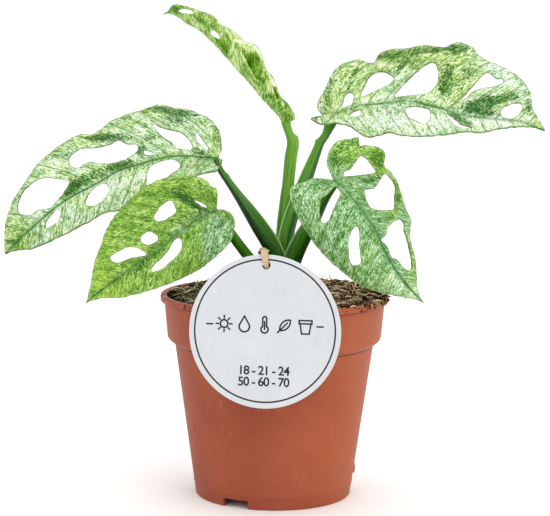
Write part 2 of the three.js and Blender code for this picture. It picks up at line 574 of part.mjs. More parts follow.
// The furled leaf
function furledSheet(leaf) {
  const spine = viewCurve(leaf.spine, false);
  const crest = viewCurve(leaf.crest, false);
  const points = [];
  const rows = [];
  for (let i = 0; i <= leaf.rows; i++) {
    const share = i / leaf.rows;
    const low = spine.getPointAt(share);
    const high = crest.getPointAt(share);
    const roll = leaf.roundness * low.distanceTo(high);
    const row = [];
    for (let k = -leaf.turns; k <= leaf.turns; k++) {
      const whole = k < 0 ? leaf.frontTurn : leaf.backTurn;
      const turn = THREE.MathUtils.degToRad((whole * Math.abs(k)) / leaf.turns);
      const place = low.clone().lerp(high, (1 - Math.cos(turn)) / 2);
      const depth = depthAlong(leaf.depth, share) + Math.sign(k) * roll * Math.sin(turn);
      const isTip = i === leaf.rows && row.length > 0;
      row.push(isTip ? row[0] : points.push(seen(place.x, place.z, depth)) - 1);
    }
    rows.push(row);
  }
  const faces = [];
  for (let i = 0; i < leaf.rows; i++) {
    for (let k = 0; k < 2 * leaf.turns; k++) {
      const [a, b, c, d] = [rows[i][k], rows[i][k + 1], rows[i + 1][k + 1], rows[i + 1][k]];
      for (const face of [[a, b, c], [a, c, d]]) {
        if (new Set(face).size === 3) faces.push(face);
      }
    }
  }
  return { points, faces, rib: [] };
}

// The depth of the spine where it passes nearest to a place in the view.
function spineDepth(leaf, place) {
  const spine = viewCurve(leaf.spine, false).getSpacedPoints(SPINE_STEPS);
  const away = spine.map((p) => p.distanceTo(place));
  return depthAlong(leaf.depth, away.indexOf(Math.min(...away)) / SPINE_STEPS);
}

function makeFurled(leaf) {
  const sheet = furledSheet(leaf);
  const whole = thicken(sheet, BLADE_THICKNESS, 0, 0);
  const cutters = leaf.holes.map(({ ring, halves }) => {
    return sightCutter(ring, halves === "both" ? () => HOLE_FAR : (place) => spineDepth(leaf, place));
  });
  return {
    blade: cutters.reduce((blade, cutter) => blade.subtract(cutter), whole),
    clearance: thicken(sheet, BLADE_THICKNESS + 2 * GAP, 0, GAP),
  };
}

// Stalks and crown
function makeStalk(stations) {
  const places = stations.map(([x, z, y]) => seen(x, z, y));
  const halfSizes = stations.map(([, , , wide, deep]) => new THREE.Vector3(wide / 2, deep / 2, 0));
  const centres = new THREE.CatmullRomCurve3(places, false, "centripetal");
  const sizes = new THREE.CatmullRomCurve3(halfSizes, false, "centripetal");
  const steps = Math.round(centres.getLength() / STALK_STEP);
  const rings = Array.from({ length: steps + 1 }, (_, i) => {
    const t = centres.getUtoTmapping(i / steps);
    const tangent = centres.getTangent(t);
    const across = new THREE.Vector3(0, 1, 0).cross(tangent).normalize();
    const along = tangent.clone().cross(across).normalize();
    const size = sizes.getPoint(t);
    return Array.from({ length: STALK_SIDES }, (_, k) => {
      const angle = (2 * Math.PI * k) / STALK_SIDES;
      return centres.getPoint(t)
        .addScaledVector(across, size.x * Math.cos(angle))
        .addScaledVector(along, size.y * Math.sin(angle));
    });
  });
  return loft(rings, false);
}

function makeStems(clearances) {
  const crown = turned([
    [0, CROWN.bottom],
    [CROWN.radius, CROWN.bottom],
    [CROWN.radius, CROWN.top - 2 * CROWN.rounding],
    [CROWN.radius - CROWN.rounding, CROWN.top - CROWN.rounding],
    [0, CROWN.top],
  ], CROWN_SIDES).translate(CROWN.x, CROWN.y, 0);
  const joined = STALKS.map(makeStalk).reduce((stems, stalk) => stems.add(stalk), solidOfGeometry(crown));
  return largestBody(clearances.reduce((stems, clearance) => stems.subtract(clearance), joined));
}

// Tag: a disc that leans back against the pot's lip, with its hole at the top.
const tagFacing = new THREE.Vector3(0, -1, 0)
  .applyAxisAngle(new THREE.Vector3(1, 0, 0), -THREE.MathUtils.degToRad(TAG_LEAN))
  .applyAxisAngle(new THREE.Vector3(0, 0, 1), THREE.MathUtils.degToRad(TAG_TURN));

function tagCentre() {
  const lipHeight = POT_HEIGHT - LIP_ROUND;
  const lipSupport = LIP_RADIUS * Math.hypot(tagFacing.x, tagFacing.y) + tagFacing.z * lipHeight;
  const planeAt = lipSupport + GAP + TAG_THICKNESS / 2;
  const onPlane = seen(...TAG_CENTRE_SEEN, 0).sub(EYE);
  const reach = (planeAt - tagFacing.dot(EYE)) / tagFacing.dot(onPlane);
  return EYE.clone().addScaledVector(onPlane, reach);
}

const tagUp = new THREE.Vector3(0, 0, 1).addScaledVector(tagFacing, -tagFacing.z).normalize();
const tagRight = tagUp.clone().cross(tagFacing).normalize();

function makeTag() {
  const disc = new THREE.Shape().absarc(0, 0, TAG_RADIUS, 0, 2 * Math.PI);
  const holeUp = TAG_RADIUS - TAG_HOLE_DROP;
  disc.holes.push(new THREE.Path().absarc(0, holeUp, TAG_HOLE_RADIUS, 0, 2 * Math.PI, true));
  const sheet = { depth: TAG_THICKNESS, bevelEnabled: false, curveSegments: TAG_CURVE_STEPS };
  const geometry = new THREE.ExtrudeGeometry(disc, sheet);
  geometry.translate(0, 0, -TAG_THICKNESS / 2);
  const place = new THREE.Matrix4().makeBasis(tagRight, tagUp, tagFacing).setPosition(tagCentre());
  return solidOfGeometry(geometry.applyMatrix4(place));
}

// Tie: a flat elastic loop through the tag's hole, over its top edge and round the bunch of stalks.
function onTag(right, up, out) {
  return tagCentre()
    .addScaledVector(tagRight, right)
    .addScaledVector(tagUp, up)
    .addScaledVector(tagFacing, out);
}

// Each station is a place, the direction of the band's width there and that width.
function tieStations() {
  const holeUp = TAG_RADIUS - TAG_HOLE_DROP;
  const clear = TAG_THICKNESS / 2 + GAP + TIE_THICKNESS / 2;
  const level = tagRight;
  const upright = new THREE.Vector3(0, 0, 1);
  const place = (x, y, z) => new THREE.Vector3(x, y, z);
  return [
    [onTag(0, holeUp - 0.4, 0), level, 2],
    [onTag(-0.2, holeUp + 1.2, clear), level, 2.8],
    [onTag(-0.9, TAG_RADIUS - 0.4, clear + 0.2), level, TIE_WIDTH],
    [onTag(-1.1, TAG_RADIUS + clear + 0.4, 0), level, TIE_WIDTH],
    [onTag(-1.3, TAG_RADIUS + clear + 0.6, -3), level, TIE_WIDTH],
    [place(-5, -34, 133.4), level, TIE_WIDTH],
    [place(-7.5, -15, 131.4), place(0.7, 0, 0.7), TIE_WIDTH],
    [place(-7.8, -6, 129.2), upright, TIE_WIDTH],
    [place(-5.2, 3.5, 127), upright, TIE_WIDTH],
    [place(0.2, 11.4, 124.6), upright, TIE_WIDTH],
    [place(7, 14, 122.2), upright, TIE_WIDTH],
    [place(12, 8, 119.6), upright, TIE_WIDTH],
    [place(13.6, -2, 117.8), upright, TIE_WIDTH],
    [place(13.6, -10, 117.2), upright, TIE_WIDTH],
    [place(10.2, -20, 118.2), place(-0.7, 0, 0.7), TIE_WIDTH],
    [place(2, -42, 122.6), place(-1, 0, 0.2), TIE_WIDTH],
    [onTag(0.2, holeUp - 2, -clear - 1.6), level.clone().negate(), 2.6],
  ];
}

function makeTie() {
  const stations = tieStations();
  const centres = new THREE.CatmullRomCurve3(stations.map(([place]) => place), true, "centripetal");
  const ways = stations.map(([, way]) => way);
  const widths = stations.map(([, , width]) => new THREE.Vector3(width, 0, 0));
  const wayCurve = new THREE.CatmullRomCurve3(ways, true, "catmullrom", TIE_TENSION);
  const widthCurve = new THREE.CatmullRomCurve3(widths, true);
  const steps = stations.length * TIE_STEPS;
  const rings = Array.from({ length: steps }, (_, i) => {
    const t = i / steps;
    const tangent = centres.getTangent(t);
    const way = wayCurve.getPoint(t);
    const across = way.addScaledVector(tangent, -way.dot(tangent)).normalize();
    const out = tangent.cross(across).normalize().multiplyScalar(TIE_THICKNESS / 2);
    const half = across.multiplyScalar(widthCurve.getPoint(t).x / 2);
    return [[1, 1], [-1, 1], [-1, -1], [1, -1]].map(([a, b]) => {
      return centres.getPoint(t).addScaledVector(half, a).addScaledVector(out, b);
    });
  });
  return loft(rings, true);
}

const blades = {
  leaf_left_upper: makeBlade(LEFT_UPPER),
  leaf_left_lower: makeBlade(LEFT_LOWER),
  leaf_furled: makeFurled(FURLED),
  leaf_right_upper: makeBlade(RIGHT_UPPER),
  leaf_right_lower: makeBlade(RIGHT_LOWER),
};

const plant = new THREE.Group();

function addPiece(name, solid, material) {
  const mesh = new THREE.Mesh(geometryOf(solid), material);
  mesh.name = name;
  plant.add(mesh);
}

addPiece("pot", makePot(), TERRACOTTA);
addPiece("soil", makeSoil(), COMPOST);
addPiece("stems", makeStems(Object.values(blades).map(({ clearance }) => clearance)), STALK_GREEN);
addPiece("leaf_left_upper", blades.leaf_left_upper.blade, MINT_LEAF);
addPiece("leaf_left_lower", blades.leaf_left_lower.blade, GREEN_LEAF);
addPiece("leaf_furled", blades.leaf_furled.blade, GREEN_LEAF);
addPiece("leaf_right_upper", blades.leaf_right_upper.blade, MINT_LEAF);
addPiece("leaf_right_lower", blades.leaf_right_lower.blade, MINT_LEAF);
addPiece("tag", makeTag(), CARD);
addPiece("tag_tie", makeTie(), ELASTIC);

export default plant;
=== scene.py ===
"""A young mint-variegated Swiss cheese vine in its nursery pot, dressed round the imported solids.

+Z is up, and the pot stands round it on z = 0. Sizes of pieces are in millimetres until MM makes them
metres. Outlines of leaves lie on the upright plane through the pot's axis, as the picture shows them.
"""
import math
import random

import bmesh
import bpy
from mathutils import Matrix, Vector, noise


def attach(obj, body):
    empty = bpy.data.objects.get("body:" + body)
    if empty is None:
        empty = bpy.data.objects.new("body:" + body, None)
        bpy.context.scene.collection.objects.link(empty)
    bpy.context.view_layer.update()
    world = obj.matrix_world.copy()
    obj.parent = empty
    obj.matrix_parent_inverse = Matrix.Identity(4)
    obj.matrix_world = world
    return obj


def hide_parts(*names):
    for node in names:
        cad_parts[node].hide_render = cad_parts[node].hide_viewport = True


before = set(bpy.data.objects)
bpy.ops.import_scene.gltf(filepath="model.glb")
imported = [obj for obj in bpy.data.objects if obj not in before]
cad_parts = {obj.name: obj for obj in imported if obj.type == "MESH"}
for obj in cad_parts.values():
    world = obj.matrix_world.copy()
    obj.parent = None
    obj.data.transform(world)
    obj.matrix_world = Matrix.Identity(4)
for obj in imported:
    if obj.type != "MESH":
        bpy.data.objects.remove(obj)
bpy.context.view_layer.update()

# The picture's view
# An eye about 95 cm in front of the pot and a little above it looks down 7.5 degrees, with the picture
# turned by half a degree.
EYE = Vector((0, -0.95, 0.251))
VIEW_PITCH = math.radians(7.54)
VIEW_ROLL = math.radians(0.545)
LENS = 119.4
SENSOR_WIDTH = 36

level_right = Vector((1, 0, 0))
level_up = Vector((0, math.sin(VIEW_PITCH), math.cos(VIEW_PITCH)))
view_right = level_right * math.cos(VIEW_ROLL) + level_up * math.sin(VIEW_ROLL)
view_up = level_up * math.cos(VIEW_ROLL) - level_right * math.sin(VIEW_ROLL)
camera_lens = bpy.data.cameras.new("camera")
camera_lens.lens = LENS
camera_lens.sensor_width = SENSOR_WIDTH
camera = bpy.data.objects.new("camera", camera_lens)
bpy.context.collection.objects.link(camera)
facing = Matrix((view_right, view_up, view_right.cross(view_up))).transposed().to_4x4()
camera.matrix_world = Matrix.Translation(EYE) @ facing
bpy.context.scene.camera = camera
bpy.context.scene.view_settings.view_transform = "Standard"


# The studio
# A wide white floor in a white room, with three large soft lamps: one high in front on the right, a
# weaker one on the left and one from above and behind.
def colour(code):
    """A colour written as on a paint chart, as the linear values that a shader takes."""
    parts = [int(code[i:i + 2], 16) / 255 for i in (0, 2, 4)]
    return [((c + 0.055) / 1.055) ** 2.4 if c > 0.04045 else c / 12.92 for c in parts] + [1]


def add_node(tree, kind, inputs=(), **settings):
    """A shader node with its settings, its values set and its sockets joined."""
    node = tree.nodes.new(kind)
    for name, value in settings.items():
        setattr(node, name, value)
    for name, value in dict(inputs).items():
        if isinstance(value, bpy.types.NodeSocket):
            tree.links.new(value, node.inputs[name])
        else:
            node.inputs[name].default_value = value
    return node


def new_material(name, roughness, shine=0.3):
    """A material, with the tree and the surface shader that its finish is built on."""
    material = bpy.data.materials.new(name)
    material.use_nodes = True
    surface = material.node_tree.nodes["Principled BSDF"]
    surface.inputs["Roughness"].default_value = roughness
    surface.inputs["Specular IOR Level"].default_value = shine
    return material, material.node_tree, surface


def add_piece(name, mesh, *materials):
    """A shown object at the origin, with its place in its mesh."""
    piece = bpy.data.objects.new(name, mesh)
    bpy.context.collection.objects.link(piece)
    for material in materials:
        mesh.materials.append(material)
    return piece


def plain_mesh(bm, name):
    """The mesh of a bmesh, which is then used up."""
    mesh = bpy.data.meshes.new(name)
    bm.to_mesh(mesh)
    bm.free()
    return mesh


def smooth(mesh, sharp_angle=40):
    """Shades a mesh smooth but for the edges that turn by more than the angle, in degrees."""
    mesh.shade_smooth()
    mesh.set_sharp_from_angle(angle=math.radians(sharp_angle))
    return mesh


def mesh_of(bm, name, sharp_angle=40):
    """The mesh of a bmesh, shaded smooth."""
    return smooth(plain_mesh(bm, name), sharp_angle)


FLOOR_REACH = 30
ROOM_STRENGTH = 1.12
paper, tree, surface = new_material("white_floor", 0.9, 0.1)
surface.inputs["Base Color"].default_value = colour("fdfdfd")
bm = bmesh.new()
bmesh.ops.create_grid(bm, x_segments=1, y_segments=1, size=FLOOR_REACH)
floor = add_piece("floor", mesh_of(bm, "floor"), paper)

world = bpy.data.worlds.new("white_room")
world.use_nodes = True
world.node_tree.nodes["Background"].inputs["Color"].default_value = colour("ffffff")
world.node_tree.nodes["Background"].inputs["Strength"].default_value = ROOM_STRENGTH
bpy.context.scene.world = world

# Each lamp has a place and an aim in metres, the length of its side, its power in watts and its tint.
for name, place, aim, size, power, tint in (
    ("lamp_front_right", (0.75, -1.1, 1.0), (0, 0, 0.12), 0.9, 6, "fff0e0"),
    ("lamp_left", (-1.1, -0.7, 0.7), (0, 0, 0.12), 0.8, 0.4, "e6efff"),
    ("lamp_above", (0.1, 0.6, 1.4), (0, 0, 0.15), 1.0, 2.5, "ffffff"),
):
    lamp = bpy.data.lights.new(name, "AREA")
    lamp.size = size
    lamp.energy = power
    lamp.color = colour(tint)[:3]
    lamp_object = bpy.data.objects.new(name, lamp)
    bpy.context.collection.objects.link(lamp_object)
    lamp_object.location = place
    lamp_object.rotation_euler = (Vector(aim) - Vector(place)).to_track_quat("-Z", "Y").to_euler()


# The pot
# A thin nursery pot, injection moulded in terracotta-coloured plastic, with a stepped collar, a rolled
# lip and a foot ring. Its profile is spun, and three drain notches are cut through the foot.
MM = 0.001
FOOT_RADIUS = 41
WALL_TOP_RADIUS = 52.3
COLLAR_BOTTOM_RADIUS = 56.2
COLLAR_TOP_RADIUS = 58
LIP_RADIUS = 60
LIP_INNER_RADIUS = 56.6
LIP_BOTTOM = 103
POT_HEIGHT = 106.5
STEP_BOTTOM = 80.4
STEP_TOP = 84.2
STEP_SLOPE_DROP = 0.6
POT_WALL = 1
BASE_BOTTOM = 5
BASE_TOP = 6.2
FOOT_RING_WIDTH = 2.2
MOULD_LINE_HEIGHT = 7
MOULD_LINE_HALF_WIDTH = 0.4
MOULD_LINE_PROUD = 0.25
NOTCH_ANGLES = (-118, 2, 122)
NOTCH_WIDTH = 14.5
NOTCH_HEIGHT = 4.6
NOTCH_BLOCK_DEPTH = 6
NUB_BOTTOM = 10
NUB_TOP = 17
NUB_RADIUS = 0.8
TURNING_STEPS = 180
ROUND_STEPS = 5


def wall_radius(height):
    """The outer radius of the wall below the step."""
    return FOOT_RADIUS + (WALL_TOP_RADIUS - FOOT_RADIUS) * height / STEP_BOTTOM


def rounded(corners):
    """A profile from its corners, each a radius, a height and how far back it is rounded."""
    spots = [Vector(corner[:2]) for corner in corners]
    made = []
    for i, (here, (_, _, rounding)) in enumerate(zip(spots, corners)):
        if not rounding:
            made.append(here)
            continue
        before = (spots[i - 1] - here).normalized() * rounding
        after = (spots[(i + 1) % len(spots)] - here).normalized() * rounding
        for k in range(ROUND_STEPS + 1):
            t = k / ROUND_STEPS
            made.append(here + before * (1 - t) ** 2 + after * t ** 2)
    return made


def spun(profile, steps):
    """A closed body from a profile of radius and height, in millimetres, spun about the Z axis."""
    bm = bmesh.new()
    points = [bm.verts.new((r * MM, 0, z * MM)) for r, z in profile]
    lines = [bm.edges.new(pair) for pair in zip(points, points[1:])]
    if profile[0][0] > 0:
        lines.append(bm.edges.new((points[-1], points[0])))
    bmesh.ops.spin(
        bm, geom=points + lines, cent=(0, 0, 0), axis=(0, 0, 1), angle=math.tau, steps=steps,
        use_merge=True,
    )
    bmesh.ops.remove_doubles(bm, verts=bm.verts, dist=1e-6)
    bmesh.ops.recalc_face_normals(bm, faces=bm.faces)
    return bm


def finished(piece):
    """Gives a piece the mesh that its modifiers make, and takes them off."""
    graph = bpy.context.evaluated_depsgraph_get()
    mesh = bpy.data.meshes.new_from_object(piece.evaluated_get(graph))
    piece.modifiers.clear()
    piece.data = mesh


def cut(piece, cutter_bm, finish):
    """Cuts the closed bodies of a bmesh out of a piece, and gives the cut its own finish."""
    mesh = plain_mesh(cutter_bm, "cutter")
    mesh.materials.append(finish)
    cutter = bpy.data.objects.new("cutter", mesh)
    bpy.context.collection.objects.link(cutter)
    boolean = piece.modifiers.new("cut", "BOOLEAN")
    boolean.operation = "DIFFERENCE"
    boolean.solver = "EXACT"
    boolean.material_mode = "TRANSFER"
    boolean.object = cutter
    finished(piece)
    bpy.data.objects.remove(cutter)


def reckoned(tree, operation, *values):
    """What the shader's sum makes of some values."""
    return add_node(tree, "ShaderNodeMath", dict(enumerate(values)), operation=operation).outputs[0]


def times(tree, first, second):
    """The product of two values."""
    return reckoned(tree, "MULTIPLY", first, second)


def weighed(tree, start, *terms):
    """The start plus each value times its weight."""
    total = start
    for value, weight in terms:
        total = reckoned(tree, "MULTIPLY_ADD", value, weight, total)
    return total


def faded(tree, value, none, full):
    """0 at one value and 1 at another, with a soft step between."""
    return add_node(tree, "ShaderNodeMapRange", {
        "Value": value, "From Min": none, "From Max": full,
    }, interpolation_type="SMOOTHSTEP").outputs[0]


def noise_of(tree, place, scale, detail=3, roughness=0.6, distortion=0):
    """Cloudy noise from 0 to 1, of a fineness for each metre."""
    return add_node(tree, "ShaderNodeTexNoise", {
        "Vector": place, "Scale": scale, "Detail": detail, "Roughness": roughness,
        "Distortion": distortion,
    }).outputs["Fac"]


def mixed(tree, share, a, b):
    """A colour with this share of another in it."""
    return add_node(tree, "ShaderNodeMix", {0: share, 6: a, 7: b}, data_type="RGBA").outputs[2]


def toned(tree, body, code, amount, strength=1):
    """A colour with another laid over it, as far as the amount says at this strength."""
    share = amount if strength == 1 else weighed(tree, 0, (amount, strength))
    return mixed(tree, share, body, colour(code))


def ramp(tree, value, stops):
    """A colour for each value, through stops of a place and a colour."""
    node = add_node(tree, "ShaderNodeValToRGB", {"Fac": value})
    while len(node.color_ramp.elements) < len(stops):
        node.color_ramp.elements.new(1)
    for element, (place, code) in zip(node.color_ramp.elements, stops):
        element.position = place
        element.color = colour(code)
    return node.outputs["Color"]


def stretched(tree, place, factors):
    """A place with each of its axes drawn out by its own factor."""
    return add_node(
        tree, "ShaderNodeVectorMath", {0: place, 1: factors}, operation="MULTIPLY").outputs[0]


def coat(tree, surface, paint, relief=None, distance=0, strength=0.5):
    """Gives a surface its colour and, where it has one, its fine relief of up to the distance in metres."""
    tree.links.new(paint, surface.inputs["Base Color"])
    if relief is None:
        return
    bump = add_node(tree, "ShaderNodeBump", {"Height": relief, "Distance": distance, "Strength": strength})
    tree.links.new(bump.outputs["Normal"], surface.inputs["Normal"])


def object_place(tree):
    """A place in the object's own metres, which are the frame's here."""
    return add_node(tree, "ShaderNodeTexCoord").outputs["Object"]


plastic, tree, surface = new_material("terracotta_plastic", 0.5, 0.12)
place = object_place(tree)
body = ramp(tree, noise_of(tree, place, 26, 4, 0.6), [(0.3, "8f4632"), (0.5, "964c35"), (0.7, "9f5338")])
axes = add_node(tree, "ShaderNodeSeparateXYZ", {0: place}).outputs
# Painted light: the right side of the pot is painted warmer and brighter, as the side the lamp falls on.
body = toned(tree, body, "b4653c", faded(tree, axes["X"], 0.005, 0.055), 0.45)
scuffs = noise_of(tree, stretched(tree, place, (1, 1, 0.35)), 240, 4, 0.65)
body = toned(tree, body, "b9755c", faded(tree, scuffs, 0.6, 0.8), 0.35)
near_lip = faded(tree, axes["Z"], 0.099, 0.1055)
grime = weighed(tree, 0, (noise_of(tree, place, 210, 5, 0.7), 1), (near_lip, 0.16))
body = toned(tree, body, "4a2c20", faded(tree, grime, 0.72, 0.78))
# Painted shade in the corners under the step and under the lip, each a height and how far down it reaches.
for corner, reach in ((STEP_BOTTOM + 0.3, 0.8), (LIP_BOTTOM + 0.1, 0.7)):
    below = faded(tree, axes["Z"], (corner - reach) * MM, corner * MM)
    above = faded(tree, axes["Z"], (corner + 0.6) * MM, corner * MM)
    body = toned(tree, body, "40190c", times(tree, below, above), 0.9)
# Pale dust patches, with more of them near the lip, where they also stand in for a painted highlight along
# the lip.
dust_and_lip_highlight = weighed(tree, 0, (noise_of(tree, place, 130, 4, 0.7), 1), (near_lip, 0.1))
body = toned(tree, body, "c79078", faded(tree, dust_and_lip_highlight, 0.66, 0.76), 0.5)
coat(tree, surface, body, noise_of(tree, place, 900, 3, 0.5), 0.00006)

foot_inner = FOOT_RADIUS - FOOT_RING_WIDTH
line_foot = MOULD_LINE_HEIGHT - MOULD_LINE_HALF_WIDTH
line_top = MOULD_LINE_HEIGHT + MOULD_LINE_HALF_WIDTH
pot_profile = rounded([
    (foot_inner, 0, 0), (FOOT_RADIUS, 0, 0.8), (wall_radius(line_foot), line_foot, 0),
    (wall_radius(MOULD_LINE_HEIGHT) + MOULD_LINE_PROUD, MOULD_LINE_HEIGHT, 0),
    (wall_radius(line_top), line_top, 0), (WALL_TOP_RADIUS, STEP_BOTTOM, 1.2),
    (COLLAR_BOTTOM_RADIUS, STEP_TOP - STEP_SLOPE_DROP, 1.3), (COLLAR_TOP_RADIUS, LIP_BOTTOM, 0.4),
    (LIP_RADIUS, LIP_BOTTOM, 0.9), (LIP_RADIUS, POT_HEIGHT, 1.2), (LIP_INNER_RADIUS, POT_HEIGHT, 1.4),
    (COLLAR_BOTTOM_RADIUS - POT_WALL, STEP_TOP, 2), (WALL_TOP_RADIUS - POT_WALL, STEP_BOTTOM, 1),
    (wall_radius(BASE_TOP) - POT_WALL, BASE_TOP, 1), (0, BASE_TOP, 0), (0, BASE_BOTTOM, 0),
    (foot_inner, BASE_BOTTOM, 0.4),
])
pot = add_piece("pot_moulding", mesh_of(spun(pot_profile, TURNING_STEPS), "pot_moulding"), plastic)
notches = bmesh.new()
for angle in NOTCH_ANGLES:
    place = Matrix.Rotation(math.radians(angle), 4, "Z") @ Matrix.Translation((FOOT_RADIUS * MM, 0, 0))
    block = Matrix.Diagonal((NOTCH_BLOCK_DEPTH * MM, NOTCH_WIDTH * MM, 2 * NOTCH_HEIGHT * MM, 1))
    bmesh.ops.create_cube(notches, size=1, matrix=place @ block)
cut(pot, notches, plastic)
smooth(pot.data)

nub = bmesh.new()
nub_middle = (NUB_BOTTOM + NUB_TOP) / 2
bmesh.ops.create_uvsphere(
    nub, u_segments=16, v_segments=12, radius=1,
    matrix=Matrix.Translation((wall_radius(nub_middle) * MM, 0, nub_middle * MM))
    @ Matrix.Diagonal((NUB_RADIUS * MM, NUB_RADIUS * MM, (NUB_TOP - NUB_BOTTOM) / 2 * MM, 1)))
gate_mark = add_piece("pot_nub", mesh_of(nub, "pot_nub"), plastic)
for piece in (pot, gate_mark):
    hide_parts("pot")
    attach(piece, "root")


# The compost
# Dark, moist potting compost with coir fibre in it. It fills the pot to just under the lip and lies
# higher at the back right. Crumbs, fibres and a few chips lie loose on top and on the lip.
SOIL_EDGE_HEIGHT = 105.8
SOIL_BACK_RISE = 1.4
SOIL_RISE_START = -20
SOIL_RISE_END = 65
SOIL_MOUND = 2.6
SOIL_MOUND_RADIUS = 26
SOIL_LUMP_HEIGHT = 0.8
SOIL_LUMP_SCALE = 0.11
SOIL_GRAIN_HEIGHT = 0.6
SOIL_GRAIN_SCALE = 0.42
SOIL_CLEARANCE = 0.5
SOIL_FOOT_GAP = 0.3
CROWN_X = 3
SOIL_RINGS = 70
CRUMB_SEED = 7
CRUMBS = 1500
CRUMB_SIZES = (0.45, 0.6, 0.8, 1.2)
CRUMB_ROUGHNESS = 0.35
FIBRES = 1400
FIBRE_LENGTHS = (3, 5, 8, 11)
FIBRE_WIDTHS = (0.3, 0.4, 0.5, 0.7)
FIBRE_ARCHES = (0.3, 0.9, 1.6)
FIBRE_RISES = (0, 0, 1, 2)
FIBRE_STEPS = 4
LIP_BITS = 220
LIP_BITS_ANGLE = -22
LIP_BITS_SPREAD = 16
HANDFUL = 30


def smoothstep(value, low, high):
    """0 below the low value and 1 above the high one, with a soft step between."""
    t = min(1, max(0, (value - low) / (high - low)))
    return t * t * (3 - 2 * t)


def soil_height(x, y):
    """The height of the compost at a place, all in millimetres."""
    away = math.hypot(x - CROWN_X, y) / SOIL_MOUND_RADIUS
    mound = SOIL_MOUND * math.exp(-away * away)
    back_right = SOIL_BACK_RISE * smoothstep(x * 0.6 + y * 0.8, SOIL_RISE_START, SOIL_RISE_END)
    lumps = SOIL_LUMP_HEIGHT * noise.fractal(Vector((x, y, 0)) * SOIL_LUMP_SCALE, 1, 2, 3)
    grains = SOIL_GRAIN_HEIGHT * noise.fractal(Vector((x, y, 40)) * SOIL_GRAIN_SCALE, 0.8, 2, 3)
    return SOIL_EDGE_HEIGHT + mound + back_right + lumps + grains


inset = POT_WALL + SOIL_CLEARANCE
soil_edge = LIP_INNER_RADIUS - SOIL_CLEARANCE
soil_foot = BASE_TOP + SOIL_FOOT_GAP
soil_profile = [
    (0, soil_foot), (wall_radius(BASE_TOP) - inset, soil_foot),
    (WALL_TOP_RADIUS - inset, STEP_BOTTOM), (COLLAR_BOTTOM_RADIUS - inset, STEP_TOP)]
soil_profile += [(soil_edge * i / SOIL_RINGS, POT_HEIGHT) for i in range(SOIL_RINGS, -1, -1)]
bm = spun(soil_profile, TURNING_STEPS)
for vert in bm.verts:
    if vert.co.z > LIP_BOTTOM * MM:
        vert.co.z = soil_height(vert.co.x / MM, vert.co.y / MM) * MM
compost, tree, surface = new_material("compost", 0.95, 0.1)
place = object_place(tree)
lumps = noise_of(tree, place, 420, 5, 0.7)
earth = ramp(tree, lumps, [(0.3, "060403"), (0.5, "130e08"), (0.64, "271c12"), (0.8, "4c3b25")])
damp = noise_of(tree, place, 60, 3, 0.5)
earth = toned(tree, earth, "14130a", faded(tree, damp, 0.45, 0.65))
coat(tree, surface, earth, lumps, 0.0008, 0.8)
soil = add_piece("compost", mesh_of(bm, "compost", 80), compost)

# Vector noise starts from the clock unless it is given a seed, so it gets one for each run to be the same.
dice = random.Random(CRUMB_SEED)
noise.seed_set(CRUMB_SEED)


def soil_spot(reach):
    """A place on the compost, in millimetres."""
    angle = dice.uniform(0, math.tau)
    radius = reach * math.sqrt(dice.random())
    x, y = radius * math.cos(angle), radius * math.sin(angle)
    return x, y, soil_height(x, y)


def lip_spot():
    """A place on the lip's top or its side, round the right of the pot, in millimetres."""
    angle = math.radians(dice.gauss(LIP_BITS_ANGLE, LIP_BITS_SPREAD))
    radius, height = dice.choice((
        (dice.uniform(LIP_INNER_RADIUS - 1, LIP_RADIUS - 0.6), POT_HEIGHT - 0.2),
        (LIP_RADIUS - 0.3, POT_HEIGHT - dice.uniform(0.6, 2.6))))
    return radius * math.cos(angle), radius * math.sin(angle), height


def shade(verts, layer, value):
    """Gives all of a small body one shade, and how green with algae it is: most on the left."""
    green = smoothstep(-verts[0].co.x / MM, -25, 50)
    for vert in verts:
        for loop in vert.link_loops:
            loop[layer].uv = (value, green)


def map_parts(tree, name):
    """A UV map of the piece, and its two values."""
    pair = add_node(tree, "ShaderNodeUVMap", uv_map=name).outputs[0]
    values = add_node(tree, "ShaderNodeSeparateXYZ", {0: pair}).outputs
    return pair, values["X"], values["Y"]


def poured(count, add_body):
    """Many small bodies, made a handful at a time."""
    heap = bmesh.new()
    for start in range(0, count, HANDFUL):
        some = bmesh.new()
        layer = some.loops.layers.uv.new("shade")
        for i in range(start, min(count, start + HANDFUL)):
            add_body(some, layer, i)
        part = plain_mesh(some, "handful")
        heap.from_mesh(part)
        bpy.data.meshes.remove(part)
    return heap


def add_crumb(bm, shades, i):
    """A crumb on the compost or, after the last of those, a smaller one on the lip."""
    x, y, z = soil_spot(soil_edge - 0.6) if i < CRUMBS else lip_spot()
    size = dice.choice(CRUMB_SIZES) * dice.uniform(0.8, 1.2) * (1 if i < CRUMBS else 0.9)
    lump = Matrix.Translation(Vector((x, y, z + size * 0.35)) * MM)
    lump @= Matrix.Rotation(dice.uniform(0, math.tau), 4, Vector((dice.random(), dice.random(), 1)))
    flat = [1, dice.uniform(0.6, 0.9), dice.uniform(0.5, 0.8)]
    lump @= Matrix.Diagonal([size * MM * part for part in flat] + [1])
    made = bmesh.ops.create_icosphere(bm, subdivisions=1, radius=1, matrix=lump)["verts"]
    for vert in made:
        vert.co += noise.noise_vector(vert.co * 1400) * size * MM * CRUMB_ROUGHNESS
    shade(made, shades, dice.random())


